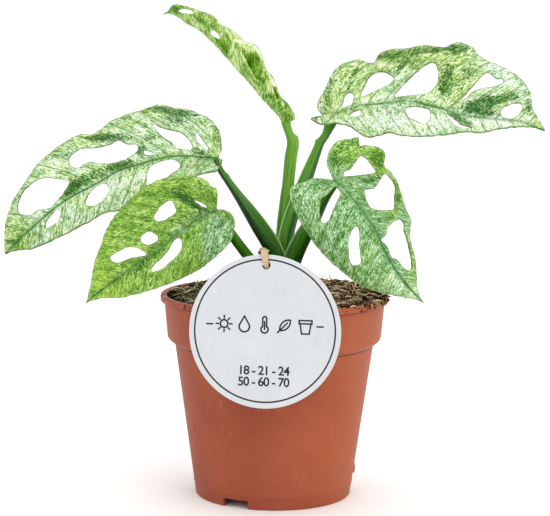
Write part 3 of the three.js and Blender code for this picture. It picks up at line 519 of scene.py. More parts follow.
crumb, tree, surface = new_material("crumb", 0.95, 0.1)
_, tint, green = map_parts(tree, "shade")
place = object_place(tree)
value = weighed(tree, -0.25, (tint, 1), (noise_of(tree, place, 500, 4, 0.7), 0.5))
brown = ramp(tree, value, [(0.1, "0f0a06"), (0.45, "2b1e12"), (0.75, "5c3f26"), (0.95, "8c6a42")])
mossy = ramp(tree, value, [(0.1, "0a0c06"), (0.45, "1c2113"), (0.75, "3d4527"), (0.95, "6f7048")])
coat(tree, surface, mixed(tree, green, brown, mossy), noise_of(tree, place, 1500, 3, 0.6), 0.0003, 0.7)
heap = poured(CRUMBS + LIP_BITS, add_crumb)
crumbs = add_piece("compost_crumbs", mesh_of(heap, "compost_crumbs", 60), crumb)


def strand(bm, layer, value, points, widths, sides=3):
    """A thin closed strand through points, in metres, with its width at each."""
    tip, ring, verts = None, None, []
    for i, (point, width) in enumerate(zip(points, widths)):
        ahead = points[min(i + 1, len(points) - 1)] - points[max(i - 1, 0)]
        turn = ahead.to_track_quat("Z", "Y").to_matrix().to_4x4()
        place = Matrix.Translation(point) @ turn @ Matrix.Scale(width / 2, 4)
        if tip is None:
            made = bmesh.ops.create_circle(bm, cap_ends=True, segments=sides, radius=1, matrix=place)
            tip = made["verts"][0].link_faces[0]
            ring = [place.inverted() @ vert.co for vert in tip.verts]
            grown = bmesh.ops.extrude_face_region(bm, geom=[tip], use_keep_orig=True)["geom"]
            verts += tip.verts
            tip = next(face for face in grown if isinstance(face, bmesh.types.BMFace))
            continue
        if i > 1:
            verts += tip.verts
            tip = bmesh.ops.extrude_discrete_faces(bm, faces=[tip])["faces"][0]
        for vert, spot in zip(tip.verts, ring):
            vert.co = place @ spot
    shade(verts + list(tip.verts), layer, value)


def add_fibre(bm, shades, i):
    """A fibre on the compost or, after the last of those, a shorter one on the lip."""
    x, y, z = soil_spot(soil_edge - 3) if i < FIBRES else lip_spot()
    heading = dice.uniform(0, math.tau)
    length = dice.choice(FIBRE_LENGTHS) * dice.uniform(0.8, 1.2) * (1 if i < FIBRES else 0.5)
    bend = dice.uniform(-1, 1)
    arch = dice.choice(FIBRE_ARCHES)
    rise = dice.choice(FIBRE_RISES) * min(1, length / 6)
    path = []
    for k in range(FIBRE_STEPS + 1):
        t = k / FIBRE_STEPS
        way = heading + bend * (t - 0.5)
        px = x + math.cos(way) * length * (t - 0.5)
        py = y + math.sin(way) * length * (t - 0.5)
        if i < FIBRES:
            pull = min(1, (soil_edge - 0.8) / max(1e-6, math.hypot(px, py)))
            px, py = px * pull, py * pull
            z = soil_height(px, py)
        path.append(Vector((px, py, z + 0.2 + rise * t + arch * t * (1 - t) * 3)) * MM)
    width = dice.choice(FIBRE_WIDTHS) * dice.uniform(0.85, 1.15) * MM
    strand(bm, shades, dice.random(), path, [width * 0.5, width, width, width * 0.9, width * 0.35])


bm = poured(FIBRES + LIP_BITS // 3, add_fibre)
shades = bm.loops.layers.uv["shade"]
# Chips that stick up at the back, each with its x, y, lean and length.
CHIPS = (
    (32, 40, -0.5, 5), (36, 37, 0.9, 4), (27, 44, 1, 3.5), (24, 46, -0.3, 3.5), (48, 18, 1.1, 4),
    (-38, 30, -0.5, 4), (-34, 30, 0.7, 5), (-42, 20, 0.1, 5))
for x, y, lean, length in CHIPS:
    foot = Vector((x, y, soil_height(x, y) - 0.5))
    path = [(foot + Vector((math.sin(lean), 0.2, math.cos(lean))) * length * k / 3) * MM for k in range(4)]
    strand(bm, shades, 0.75, path, [0.9 * MM, 0.8 * MM, 0.7 * MM, 0.4 * MM], 5)
bmesh.ops.recalc_face_normals(bm, faces=bm.faces)
coir, tree, surface = new_material("coir_fibre", 0.85, 0.15)
_, tint, green = map_parts(tree, "shade")
place = object_place(tree)
value = weighed(tree, -0.15, (tint, 1), (noise_of(tree, place, 700, 3, 0.6), 0.3))
husk = ramp(tree, value, [
    (0.05, "1c120a"), (0.3, "4f331c"), (0.48, "8a6742"), (0.66, "bc9c6c"), (0.84, "ddc9a0"),
    (0.97, "f2ead2")])
mossy = ramp(tree, value, [
    (0.1, "10160d"), (0.35, "35442b"), (0.55, "767a58"), (0.8, "c2b48c"), (1, "ece2c4")])
strands = mixed(tree, weighed(tree, 0, (green, 0.8)), husk, mossy)
coat(tree, surface, strands, noise_of(tree, place, 2500, 2, 0.5), 0.0001)
fibres = add_piece("compost_fibres", mesh_of(bm, "compost_fibres", 70), coir)
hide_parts("soil")
for piece in (soil, crumbs, fibres):
    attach(piece, "root")


# The stalks
# Five smooth green leaf stalks grow from one crown in the compost. Low down each is sheathed, and the
# sheath's thin margin shows as a pale ridge along its side and ends in a small free tip.
class Curve:
    """A smooth curve through points, read at shares of its length."""
    STEPS = 200

    def __init__(self, points, closed=False):
        self.points = [Vector(p) for p in points]
        self.closed = closed
        places = [self.at(i / self.STEPS) for i in range(self.STEPS + 1)]
        self.lengths = [0]
        for a, b in zip(places, places[1:]):
            self.lengths.append(self.lengths[-1] + (b - a).length)

    def at(self, t):
        """The place at t of the way through the points, as each is as far in t from the next."""
        points, count = self.points, len(self.points)
        spans = count if self.closed else count - 1
        i = min(int(t * spans), spans - 1)
        weight = t * spans - i
        b, c = points[i % count], points[(i + 1) % count]
        a = points[i - 1] if self.closed or i > 0 else b * 2 - c
        d = points[(i + 2) % count] if self.closed or i + 2 < count else c * 2 - b
        first, middle, last = [max(1e-4, (q - p).length ** 0.5) for p, q in ((a, b), (b, c), (c, d))]
        start = ((b - a) / first - (c - a) / (first + middle) + (c - b) / middle) * middle
        end = ((c - b) / middle - (d - b) / (middle + last) + (d - c) / last) * middle
        cubic = b * 2 - c * 2 + start + end
        square = c * 3 - b * 3 - start * 2 - end
        return b + start * weight + square * weight ** 2 + cubic * weight ** 3

    def share(self, share):
        """How far through the points the curve is at a share of its length."""
        goal = share * self.lengths[-1]
        low, high = 0, self.STEPS
        while high - low > 1:
            middle = (low + high) // 2
            if self.lengths[middle] <= goal:
                low = middle
            else:
                high = middle
        step = self.lengths[high] - self.lengths[low]
        return (low + (goal - self.lengths[low]) / step) / self.STEPS if step else 0

    def along(self, share):
        """The place at a share of the curve's length."""
        return self.at(self.share(share))


def seen(x, z, y):
    """A point of the outline plane, slid along the line of sight to the depth y, in millimetres."""
    reach = (y * MM - EYE.y) / -EYE.y
    return Vector((x * MM * reach, y * MM, EYE.z + (z * MM - EYE.z) * reach))


# Each station is x, z, depth y, width across the view and thickness along it. Dark is the painted shade on
# the left and right sides, and painted light where it is below zero. A sheath margin is its angle from the
# left side, the heights z of its tip and its foot, how far the tip stands off, and how pale the margin is.
LEFT, RIGHT = -12, 192
STALKS = [
    {"stations": [
        (-31.5, 177, -8.4, 2.4, 2.4), (-29, 171.5, -8.8, 3.4, 3.2), (-24.5, 165, -10, 3.9, 3.6),
        (-19.5, 158, -10, 5, 4.4), (-14.5, 151, -10, 6.9, 5.4), (-8, 141.5, -9, 8.8, 6.4),
        (-2.3, 132.5, -7.5, 9.5, 7), (1, 124, -5, 9.8, 7.5), (2.5, 112, -3, 9.8, 8)],
     "dark": (0.75, 0), "base": 0.2, "margins": [(RIGHT, 168, 112, 0.5, 0.9)]},
    {"stations": [
        (-33, 149, -24.5, 2.2, 2.2), (-27.5, 144.5, -20.5, 3.8, 3.4), (-22.5, 137, -16, 5.2, 4.6),
        (-14.5, 126.5, -9, 5.6, 5), (-2, 112, -2, 7, 7)],
     "dark": (0.35, 0.1), "base": 0.05, "margins": []},
    {"stations": [
        (4.6, 199.5, 13.6, 4, 2.6), (5, 196.5, 13, 4.9, 3.4), (6.5, 191.5, 12.8, 4.3, 3.6),
        (8.7, 186, 12.8, 6.2, 4.4), (7.7, 178.5, 13, 6.4, 4.6), (6.5, 165.5, 13, 6.2, 5),
        (5.5, 155, 12, 6.6, 5.4), (4.5, 144.5, 9.5, 7, 6), (4, 134, 6.5, 7.5, 6.6),
        (3, 112, 3.5, 8, 8)],
     "dark": (0.15, 0), "base": -0.22, "margins": [(RIGHT, 188, 118, 0.9, 0.8), (LEFT, 160, 118, 0, 0.4)]},
    {"stations": [
        (33, 201.6, 26.6, 3, 3), (27.8, 195, 26, 5.8, 3.8), (26, 190.5, 24.5, 4.3, 3.8),
        (23, 186, 22, 4.6, 4.2), (21, 181, 20, 5.2, 4.6), (16.3, 168.5, 14.5, 6.9, 5.4),
        (12, 157.5, 8.5, 7.4, 6), (8.3, 147, 4, 7.6, 6.4), (5.5, 134.7, 1, 8, 7),
        (4.5, 112, 0, 8, 8)],
     "dark": (-0.15, 0.45), "base": 0, "margins": [(LEFT, 186.5, 118, 0.9, 0.9)]},
    {"stations": [
        (32, 164.8, -30.5, 2.4, 2.4), (26, 157, -25, 4.8, 4), (20, 146, -19, 7.2, 5.4),
        (14.2, 135.8, -14, 9, 6.6), (9.7, 125.7, -9.5, 9.6, 7.4), (6, 112, -4, 9.6, 8)],
     "dark": (0, 0.6), "base": 0.12, "margins": [(LEFT, 152, 118, 0, 0.95)]},
]
STALK_SIDES = 36
STALK_STEP = 0.0018
MARGIN_WIDTH = 20
MARGIN_RIDGE = 0.22
MARGIN_TOP_BLUR = 0.4
MARGIN_FOOT_BLUR = 10
TIP_LENGTH = 2.6
GRAIN_PER_METRE = 10
CROWN_PROFILE = [(0, 94, 0), (8.5, 94, 1), (8.5, 114, 1.5), (6.5, 116, 1), (0, 118, 0)]
CROWN_STEPS = 48


def swept(bm, rings, closed=False):
    """A body through rings of points, with flat ends. Gives back its rings of corners."""
    sides = len(rings[0])
    first = bmesh.ops.create_circle(bm, segments=sides, radius=1)["verts"]
    walk = [first[0]]
    edge = first[0].link_edges[0]
    while len(walk) < sides:
        walk.append(edge.other_vert(walk[-1]))
        edge = next(e for e in walk[-1].link_edges if e is not edge)
    for vert, place in zip(walk, rings[0]):
        vert.co = place
    loops = [walk]
    for ring in rings[1:]:
        before = loops[-1]
        edges = [
            next(e for e in a.link_edges if e.other_vert(a) is b)
            for a, b in zip(before, before[1:] + before[:1])]
        grown = bmesh.ops.extrude_edge_only(bm, edges=edges)["geom"]
        fresh = {v for v in grown if isinstance(v, bmesh.types.BMVert)}
        after = [next(e.other_vert(v) for e in v.link_edges if e.other_vert(v) in fresh) for v in before]
        for vert, place in zip(after, ring):
            vert.co = place
        loops.append(after)
    if not closed:
        for ring in (loops[0], loops[-1]):
            bmesh.ops.contextual_create(bm, geom=ring)
    return loops


def grained(loops, layer):
    """Maps a swept body: the share round it, and the length along it at the grain's scale."""
    sides = len(loops[0])
    lengths = [0]
    for before, after in zip(loops, loops[1:]):
        lengths.append(lengths[-1] + (after[0].co - before[0].co).length)
    number = {vert: (i, k) for i, ring in enumerate(loops) for k, vert in enumerate(ring)}
    for face in {face for vert in number for face in vert.link_faces}:
        places = [number[loop.vert] for loop in face.loops]
        wraps = {0, sides - 1} <= {k for _, k in places}
        for loop, (i, k) in zip(face.loops, places):
            loop[layer].uv = (1 if wraps and k == 0 else k / sides, lengths[i] * GRAIN_PER_METRE)


def margin_at(stalk, angle, z):
    """How pale a stalk is for its sheath's margins, and how far it stands out there, at an angle."""
    paleness, proud = 0, 0
    for side, top, foot, tip, strength in stalk["margins"]:
        off = (angle - side + 180) % 360 - 180
        near = math.exp(-(off / MARGIN_WIDTH) ** 2)
        below = smoothstep(z, top + MARGIN_TOP_BLUR, top - MARGIN_TOP_BLUR)
        above_foot = smoothstep(z, foot - MARGIN_FOOT_BLUR, foot + MARGIN_FOOT_BLUR)
        paleness += strength * near * below * above_foot
        free = below * smoothstep(z, top - TIP_LENGTH, top)
        proud += near * (MARGIN_RIDGE * below + tip * free)
    return paleness, proud


bm = bmesh.new()
grain = bm.loops.layers.uv.new("grain")
tint_layer = bm.loops.layers.uv.new("tint")
for stalk in STALKS:
    centres = Curve([seen(x, z, y) for x, z, y, _, _ in stalk["stations"]])
    heights = Curve([(z, y, 0) for _, z, y, _, _ in stalk["stations"]])
    sizes = Curve([(wide * MM / 2, deep * MM / 2, 0) for _, _, _, wide, deep in stalk["stations"]])
    steps = round(centres.lengths[-1] / STALK_STEP)
    rings, tints = [], []
    for i in range(steps + 1):
        t = centres.share(i / steps)
        ahead = centres.at(min(1, t + 0.01)) - centres.at(max(0, t - 0.01))
        across = Vector((0, 1, 0)).cross(ahead).normalized()
        along = ahead.cross(across).normalized()
        size = sizes.at(t)
        ring, tint_ring = [], []
        for k in range(STALK_SIDES):
            angle = math.tau * k / STALK_SIDES
            pale, proud = margin_at(stalk, math.degrees(angle), heights.at(t).x)
            # Painted shade: one side of each stalk is painted darker, or lighter where the value is below
            # zero, for how the light falls on it.
            left_painted_shade, right_painted_shade = stalk["dark"]
            dark = left_painted_shade * max(0, math.cos(angle)) + right_painted_shade * max(0, -math.cos(angle))
            ring.append(
                centres.at(t) + across * (size.x + proud * MM) * math.cos(angle)
                + along * (size.y + proud * MM) * math.sin(angle))
            tint_ring.append((stalk["base"] + dark, pale))
        rings.append(ring)
        tints.append(tint_ring)
    loops = swept(bm, rings)
    grained(loops, grain)
    for ring, tint_ring in zip(loops, tints):
        for vert, tint in zip(ring, tint_ring):
            for loop in vert.link_loops:
                loop[tint_layer].uv = tint
bmesh.ops.recalc_face_normals(bm, faces=bm.faces)
crown = spun(rounded(CROWN_PROFILE), CROWN_STEPS)
bmesh.ops.translate(crown, vec=(CROWN_X * MM, 0, 0), verts=crown.verts)
bm.from_mesh(plain_mesh(crown, "crown"))


def drawn_out(tree, place, factors, detail, roughness, distortion=0):
    """Noise drawn out on each axis by its own factor."""
    return noise_of(tree, stretched(tree, place, factors), 1, detail, roughness, distortion)


stalk_green, tree, surface = new_material("stalk_green", 0.36, 0.35)
grain_place, _, _ = map_parts(tree, "grain")
# The tint map holds each stalk's own tone plus the painted shade of its sides, and the paleness of its
# sheath margins.
_, dark, pale = map_parts(tree, "tint")
streaks = drawn_out(tree, grain_place, (34, 2.2, 1), 4, 0.65)
broad = drawn_out(tree, grain_place, (6, 1.2, 1), 2, 0.5)
value = weighed(tree, -0.33, (streaks, 1.15), (broad, 0.5), (dark, 0.75))
skin = ramp(tree, value, [
    (0.2, "76aa34"), (0.42, "4f8a0e"), (0.62, "2b6803"), (0.82, "124402"), (1, "083000")])
frost = weighed(tree, 0, (pale, 0.7), (streaks, 0.3))
skin = toned(tree, skin, "a9cd86", faded(tree, frost, 0.25, 1))
coat(tree, surface, skin, streaks, 0.0002, 0.4)
stalks = add_piece("stalks", mesh_of(bm, "stalks", 50), stalk_green)
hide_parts("stems")
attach(stalks, "root")


# The upper left leaf
# A thin, soft blade with real windows between its veins. It's marbled almost white, mint and green, drawn
# out along the veins, with deep green folds above the midrib, one dark band of them a painted shadow where
# the margin curls under, and a yellow green tip.
BLADE_THICKNESS = 0.6
BODY_STEPS = 110
FAN_STEPS = 4
FAN_VEIN_SHARE = 0.6
ACROSS_STEPS = 34
ACROSS_CROWDING = 1.2
FULL_WAVE_WIDTH = 12
VEIN_SPACING = 8.5
VEIN_SLANT = 0.35
VEIN_BEND = 0.008
QUILT_START = 4
RIB_GROOVE_DEPTH = 0.3
RIB_GROOVE_WIDTH = 1.1
CRINKLES = ((0.4, 110), (0.2, 420))
HOLE_NEAR = -90
HOLE_FAR = 110
HOLE_STEPS = 64
HOLE_SURROUND = 3
RAGGEDNESS = 0.4
RAGGED_SIZE = 2.2
UNDER_RIB_STEPS = 60
UNDER_RIB_SIDES = 12
UNDER_RIB_WIDTH = 2.2
UNDER_RIB_THINNING = 0.8
UNDER_RIB_REACH = 0.97
UNDER_RIB_LOOK_AHEAD = 0.02


def outline_curve(outline, closed=False):
    """The curve through an outline's places, with x and z of the picture's plane as its x and y."""
    return Curve([(x, z, 0) for x, z in outline], closed)


def depth_along(depths, share):
    """The depth at a share of the way, on the parabola through the depths at start, middle and end."""
    start, middle, end = depths
    back, fore = 1 - share, 2 * share - 1
    return -start * back * fore + middle * 4 * share * back + end * share * fore


def patch_amount(patches, x, z):
    """How much of its patches a place has. Each is x, z, half length, half width, turn and strength."""
    amount = 0
    for middle_x, middle_z, long, wide, turn, strength in patches:
        cos, sin = math.cos(math.radians(turn)), math.sin(math.radians(turn))
        a = ((x - middle_x) * cos + (z - middle_z) * sin) / long
        b = ((z - middle_z) * cos - (x - middle_x) * sin) / wide
        amount += strength * math.exp(-(a * a + b * b) ** 1.5)
    return amount


def ragged(place):
    """A place of an outline, pushed about a little as a torn or grown edge is."""
    push = noise.noise_vector(place / RAGGED_SIZE) * RAGGEDNESS
    return Vector((place.x + push.x, place.y + push.y, 0))


def window_ring(outline):
    """Points round a window's edge."""
    edge = outline_curve(outline, True)
    return [ragged(edge.along(k / HOLE_STEPS)) for k in range(HOLE_STEPS)]


def off_window(ring, place):
    """Millimetres from a window's edge, less than zero inside it."""
    x, z, _ = place
    if not (min(p.x for p in ring) - HOLE_SURROUND < x < max(p.x for p in ring) + HOLE_SURROUND
            and min(p.y for p in ring) - HOLE_SURROUND < z < max(p.y for p in ring) + HOLE_SURROUND):
        return HOLE_SURROUND
    inside, near = False, HOLE_SURROUND
    for a, b in zip(ring, ring[1:] + ring[:1]):
        step = b - a
        share = min(1, max(0, (place - a).dot(step) / step.length_squared))
        near = min(near, (a + step * share - place).length)
        if (a.y > z) != (b.y > z) and x < a.x + step.x * (z - a.y) / step.y:
            inside = not inside
    return -near if inside else near


def mark_loops(verts, layers, marks):
    """Writes each corner's marks into the maps, one pair to a map."""
    for face in {face for vert in verts for face in vert.link_faces}:
        for loop in face.loops:
            for layer, pair in zip(layers, marks[loop.vert]):
                loop[layer].uv = pair


def crinkled(place, crinkles):
    """How far a soft blade is pushed out at a place, by crinkles of a height and a scale each."""
    return sum(height * noise.noise(place * scale) for height, scale in crinkles)


def turned_to_the_eye(bm, faces):
    """Turns the whole sheet so that these of its faces look at the eye."""
    bmesh.ops.remove_doubles(bm, verts=bm.verts, dist=0.01 * MM)
    bmesh.ops.recalc_face_normals(bm, faces=bm.faces)
    facing = [face for face in faces if face.is_valid]
    if sum(face.normal.dot(EYE - face.calc_center_median()) * face.calc_area() for face in facing) < 0:
        bmesh.ops.reverse_faces(bm, faces=bm.faces)
    bm.normal_update()


def blade_sheet(leaf):
    """The middle surface of a blade. Its maps hold millimetres along and across the veins, millimetres
    from the nearest edge, and how much dark green with painted shade, lime, white and fresh green there is."""
    bm = bmesh.new()
    layers = [bm.loops.layers.uv.new(name) for name in ("veins", "edge", "tones", "light")]
    rib = outline_curve(leaf["rib"])
    windows = [window_ring(outline) for outline in leaf["holes"]]
    for side, half in zip((1, -1), leaf["halves"]):
        margin = outline_curve(half["margin"])
        fan_steps = FAN_STEPS * half["fan_rows"]
        rows = fan_steps + BODY_STEPS
        ends = []
        for i in range(rows + 1):
            share = max(0, i - fan_steps) / BODY_STEPS
            body_reach = half["fan"] + (1 - half["fan"]) * share
            reach = half["fan"] * i / fan_steps if i < fan_steps else body_reach
            before_body = min(0, reach - half["fan"]) * margin.lengths[-1]
            row = share * rib.lengths[-1] + before_body * FAN_VEIN_SHARE
            end = margin.along(reach)
            ends.append((share, reach, row, rib.along(share), end if reach in (0, 1) else ragged(end)))
        made = bmesh.ops.create_grid(bm, x_segments=rows, y_segments=ACROSS_STEPS, size=0.5)["verts"]
        height, count, phase = half["waves"]
        marks = {}
        for vert in made:
            share, reach, row, start, end = ends[round((vert.co.x + 0.5) * rows)]
            across = max(0, vert.co.y + 0.5) ** ACROSS_CROWDING
            width = (end - start).length
            fade = min(1, width / FULL_WAVE_WIDTH)
            ripple = height * fade * across ** 2 * math.sin(math.tau * count * reach + phase)
            bulge = half["arch"] * fade * 4 * across * (1 - across)
            base_tilt, tip_tilt = half["tilt"]
            tilt = base_tilt + (tip_tilt - base_tilt) * reach
            depth = depth_along(leaf["depth"], share) + tilt * width * across + bulge + ripple
            place = start.lerp(end, across)
            vert.co = seen(place.x, place.y, depth)
            from_edge = min([width * (1 - across)] + [off_window(ring, place) for ring in windows])
            marks[vert] = (
                (row, side * width * across),
                (from_edge, share * rib.lengths[-1]),
                (patch_amount(leaf["deep"], *place.xy), patch_amount(leaf["lime"], *place.xy)),
                (patch_amount(leaf["pale"], *place.xy), patch_amount(leaf["fresh"], *place.xy)),
            )
        mark_loops(made, layers, marks)
    turned_to_the_eye(bm, bm.faces)
    for vert in bm.verts:
        row, out = vert.link_loops[0][layers[0]].uv
        from_edge = max(0, vert.link_loops[0][layers[1]].uv.x)
        calm = min(1, abs(out) / QUILT_START) * min(1, from_edge / HOLE_SURROUND)
        bent = row - VEIN_SLANT * abs(out) - VEIN_BEND * out * out
        beat = abs(math.sin(math.pi * bent / VEIN_SPACING))
        quilt = leaf["quilt"] * calm * (beat ** 0.5 - 0.5)
        groove = -RIB_GROOVE_DEPTH * math.exp(-(out / RIB_GROOVE_WIDTH) ** 2)
        vert.co += vert.normal * (quilt + groove + crinkled(vert.co, CRINKLES)) * MM
    return bm


def sight_cutter(bm, outline, far_depth):
    """A closed body along the line of sight from an outline, down to the depth that far_depth gives."""
    made = bmesh.ops.create_circle(bm, cap_ends=True, segments=HOLE_STEPS, radius=1)["verts"]
    near_cap = made[0].link_faces[0]
    places = {}
    for loop, place in zip(near_cap.loops, window_ring(outline)):
        loop.vert.co = seen(place.x, place.y, HOLE_NEAR)
        places[tuple(loop.vert.co)] = place
    grown = bmesh.ops.extrude_face_region(bm, geom=[near_cap], use_keep_orig=True)["geom"]
    for vert in grown:
        if isinstance(vert, bmesh.types.BMVert):
            place = places[tuple(vert.co)]
            vert.co = seen(place.x, place.y, far_depth(place))


def thickened(piece, rounds, rim):
    """Gives a sheet its windows and its thickness. Windows that overlap are cut in rounds of their own,
    and each is an outline and its far depth."""
    for holes in rounds:
        cutters = bmesh.new()
        for outline, far_depth in holes:
            sight_cutter(cutters, outline, far_depth)
        bmesh.ops.recalc_face_normals(cutters, faces=cutters.faces)
        bmesh.ops.triangulate(cutters, faces=cutters.faces)
        cut(piece, cutters, rim)
    sheet = bmesh.new()
    sheet.from_mesh(piece.data)
    rim_slot = list(piece.data.materials).index(rim)
    walls = [face for face in sheet.faces if face.material_index == rim_slot]
    bmesh.ops.delete(sheet, geom=walls, context="FACES")
    sheet.to_mesh(piece.data)
    sheet.free()
    solid = piece.modifiers.new("thickness", "SOLIDIFY")
    solid.thickness = BLADE_THICKNESS * MM
    solid.offset = 0
    solid.material_offset = 1
    solid.material_offset_rim = 2
    finished(piece)
    smooth(piece.data, 55)


MINT_TONES = [(0, "eef2ee"), (0.25, "c0deb8"), (0.5, "85b470"), (0.75, "478430"), (1, "154c08")]
LIME_TONES = [(0, "eaf0d2"), (0.25, "bdda86"), (0.5, "86b440"), (0.75, "4c860c"), (1, "1c5000")]
FRESH_TONES = [(0, "cfe080"), (0.5, "84b420"), (1, "2f6a00")]


def leaf_upper_side(name, tone, lime, contrast, rib, lime_tones=LIME_TONES):
    """The upper side: fine marbling along the veins, the midrib with its halo and core of these
    strengths, the side veins, and a dark line on the margin and round the windows."""
    material, tree, surface = new_material(name, 0.42, 0.25)
    _, row, across = map_parts(tree, "veins")
    _, from_edge, _ = map_parts(tree, "edge")
    _, deep, lime_patch = map_parts(tree, "tones")
    _, pale, fresh = map_parts(tree, "light")
    place = object_place(tree)
    out = reckoned(tree, "ABSOLUTE", across)
    bent = weighed(tree, 0, (row, 1), (out, -VEIN_SLANT), (reckoned(tree, "POWER", out, 2), -VEIN_BEND))
    lined = add_node(tree, "ShaderNodeCombineXYZ", {0: bent, 1: across}).outputs[0]
    speckle = drawn_out(tree, lined, (1.35, 0.7, 1), 3, 0.9, 0.8)
    streak = drawn_out(tree, lined, (0.5, 0.16, 1), 4, 0.8, 1.5)
    blotch = noise_of(tree, place, 170, 4, 0.7)
    cloud = noise_of(tree, place, 62, 3, 0.6)
    texture = weighed(
        tree, -0.9 * contrast, (speckle, contrast), (streak, 0.5 * contrast), (blotch, 0.3 * contrast))
    # deep holds the dark green patches and, on the left leaves, painted shade along folds and under a
    # curled margin.
    dark_patch = faded(tree, weighed(tree, 0, (deep, 1), (texture, 0.3)), 0.1, 0.7)
    value = weighed(tree, tone, (texture, 1), (dark_patch, 0.62), (pale, -1))
    mint = ramp(tree, value, MINT_TONES)
    yellow = ramp(tree, value, lime_tones)
    lime_value = weighed(tree, lime - 1.1, (cloud, 1.4), (streak, 0.8), (lime_patch, 1))
    body = mixed(tree, faded(tree, lime_value, 0.2, 0.85), mint, yellow)
    body = mixed(tree, weighed(tree, 0, (fresh, 0.9)), body, ramp(tree, value, FRESH_TONES))
    wandering = weighed(tree, -0.8, (bent, 1), (blotch, 1.6))
    off_vein = reckoned(tree, "PINGPONG", wandering, VEIN_SPACING / 2)
    vein = weighed(
        tree, 0, (faded(tree, off_vein, 0.55, 0.15), 0.85), (faded(tree, off_vein, 1.6, 0.2), 0.2))
    body = toned(tree, body, "3b742c", times(tree, vein, weighed(tree, 0.15, (cloud, 1))))
    halo, core = rib
    body = toned(tree, body, "6b9a6c", faded(tree, out, 2.4, 0.2), halo)
    rib_core = times(tree, faded(tree, out, 0.7, 0.2), weighed(tree, 0.6 * core, (blotch, 0.8 * core)))
    body = toned(tree, body, "24601a", rib_core)
    body = toned(tree, body, "a5c680", faded(tree, from_edge, 1.4, 0.5), 0.2)
    dark_edge = times(tree, faded(tree, from_edge, 0.55, 0.1), weighed(tree, -0.1, (blotch, 1.4)))
    body = toned(tree, body, "44601f", dark_edge)
    coat(tree, surface, body, weighed(tree, 0, (speckle, 1), (off_vein, 0.1)), 0.0004, 0.5)
    return material


def leaf_under_side(name, stops):
    """The duller, paler underside, streaked along its veins."""
    material, tree, surface = new_material(name, 0.6, 0.2)
    veins, _, _ = map_parts(tree, "veins")
    streaks = drawn_out(tree, veins, (0.8, 0.2, 1), 4, 0.6)
    pores = noise_of(tree, object_place(tree), 900, 3, 0.6)
    coat(tree, surface, ramp(tree, streaks, stops), pores, 0.00015, 0.4)
    return material


def rim_material(name, dark, light):
    """The cut edge of a blade, dark in some stretches and light in others."""
    material, tree, surface = new_material(name, 0.55, 0.2)
    cloud = noise_of(tree, object_place(tree), 150, 3, 0.6)
    coat(tree, surface, ramp(tree, cloud, [(0.42, dark), (0.6, light)]))
    return material


def under_rib(leaf):
    """The midrib's round ridge on the underside, thinning towards the tip."""
    bm = bmesh.new()
    layer = bm.loops.layers.uv.new("grain")
    bm.loops.layers.uv.new("tint")
    rib = outline_curve(leaf["rib"])
    rings = []
    for i in range(UNDER_RIB_STEPS + 1):
        share = UNDER_RIB_REACH * i / UNDER_RIB_STEPS
        place, ahead = [
            seen(*rib.along(step).xy, depth_along(leaf["depth"], step))
            for step in (share, share + UNDER_RIB_LOOK_AHEAD)]
        way = (ahead - place).normalized()
        back = (place - EYE).normalized()
        across = way.cross(back).normalized()
        size = UNDER_RIB_WIDTH * (1 - UNDER_RIB_THINNING * share) * MM
        centre = place + back * (0.45 * size + 0.1 * MM)
        rings.append([
            centre + across * size * 0.5 * math.cos(math.tau * k / UNDER_RIB_SIDES)
            + back * size * 0.5 * math.sin(math.tau * k / UNDER_RIB_SIDES) for k in range(UNDER_RIB_SIDES)])
    grained(swept(bm, rings), layer)
    bmesh.ops.recalc_face_normals(bm, faces=bm.faces)
    return bm


def add_leaf(name, leaf, upper, under, rim):
    """A leaf from its outline: the blade with its windows, and the ridge under its midrib."""
    blade = add_piece(name, plain_mesh(blade_sheet(leaf), name), upper, under, rim)
    thickened(blade, [[(outline, lambda place: HOLE_FAR) for outline in leaf["holes"]]], rim)
    ridge = add_piece(f"{name}_midrib", mesh_of(under_rib(leaf), f"{name}_midrib"), stalk_green)
    for piece in (blade, ridge):
        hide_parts(name)
        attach(piece, "root")


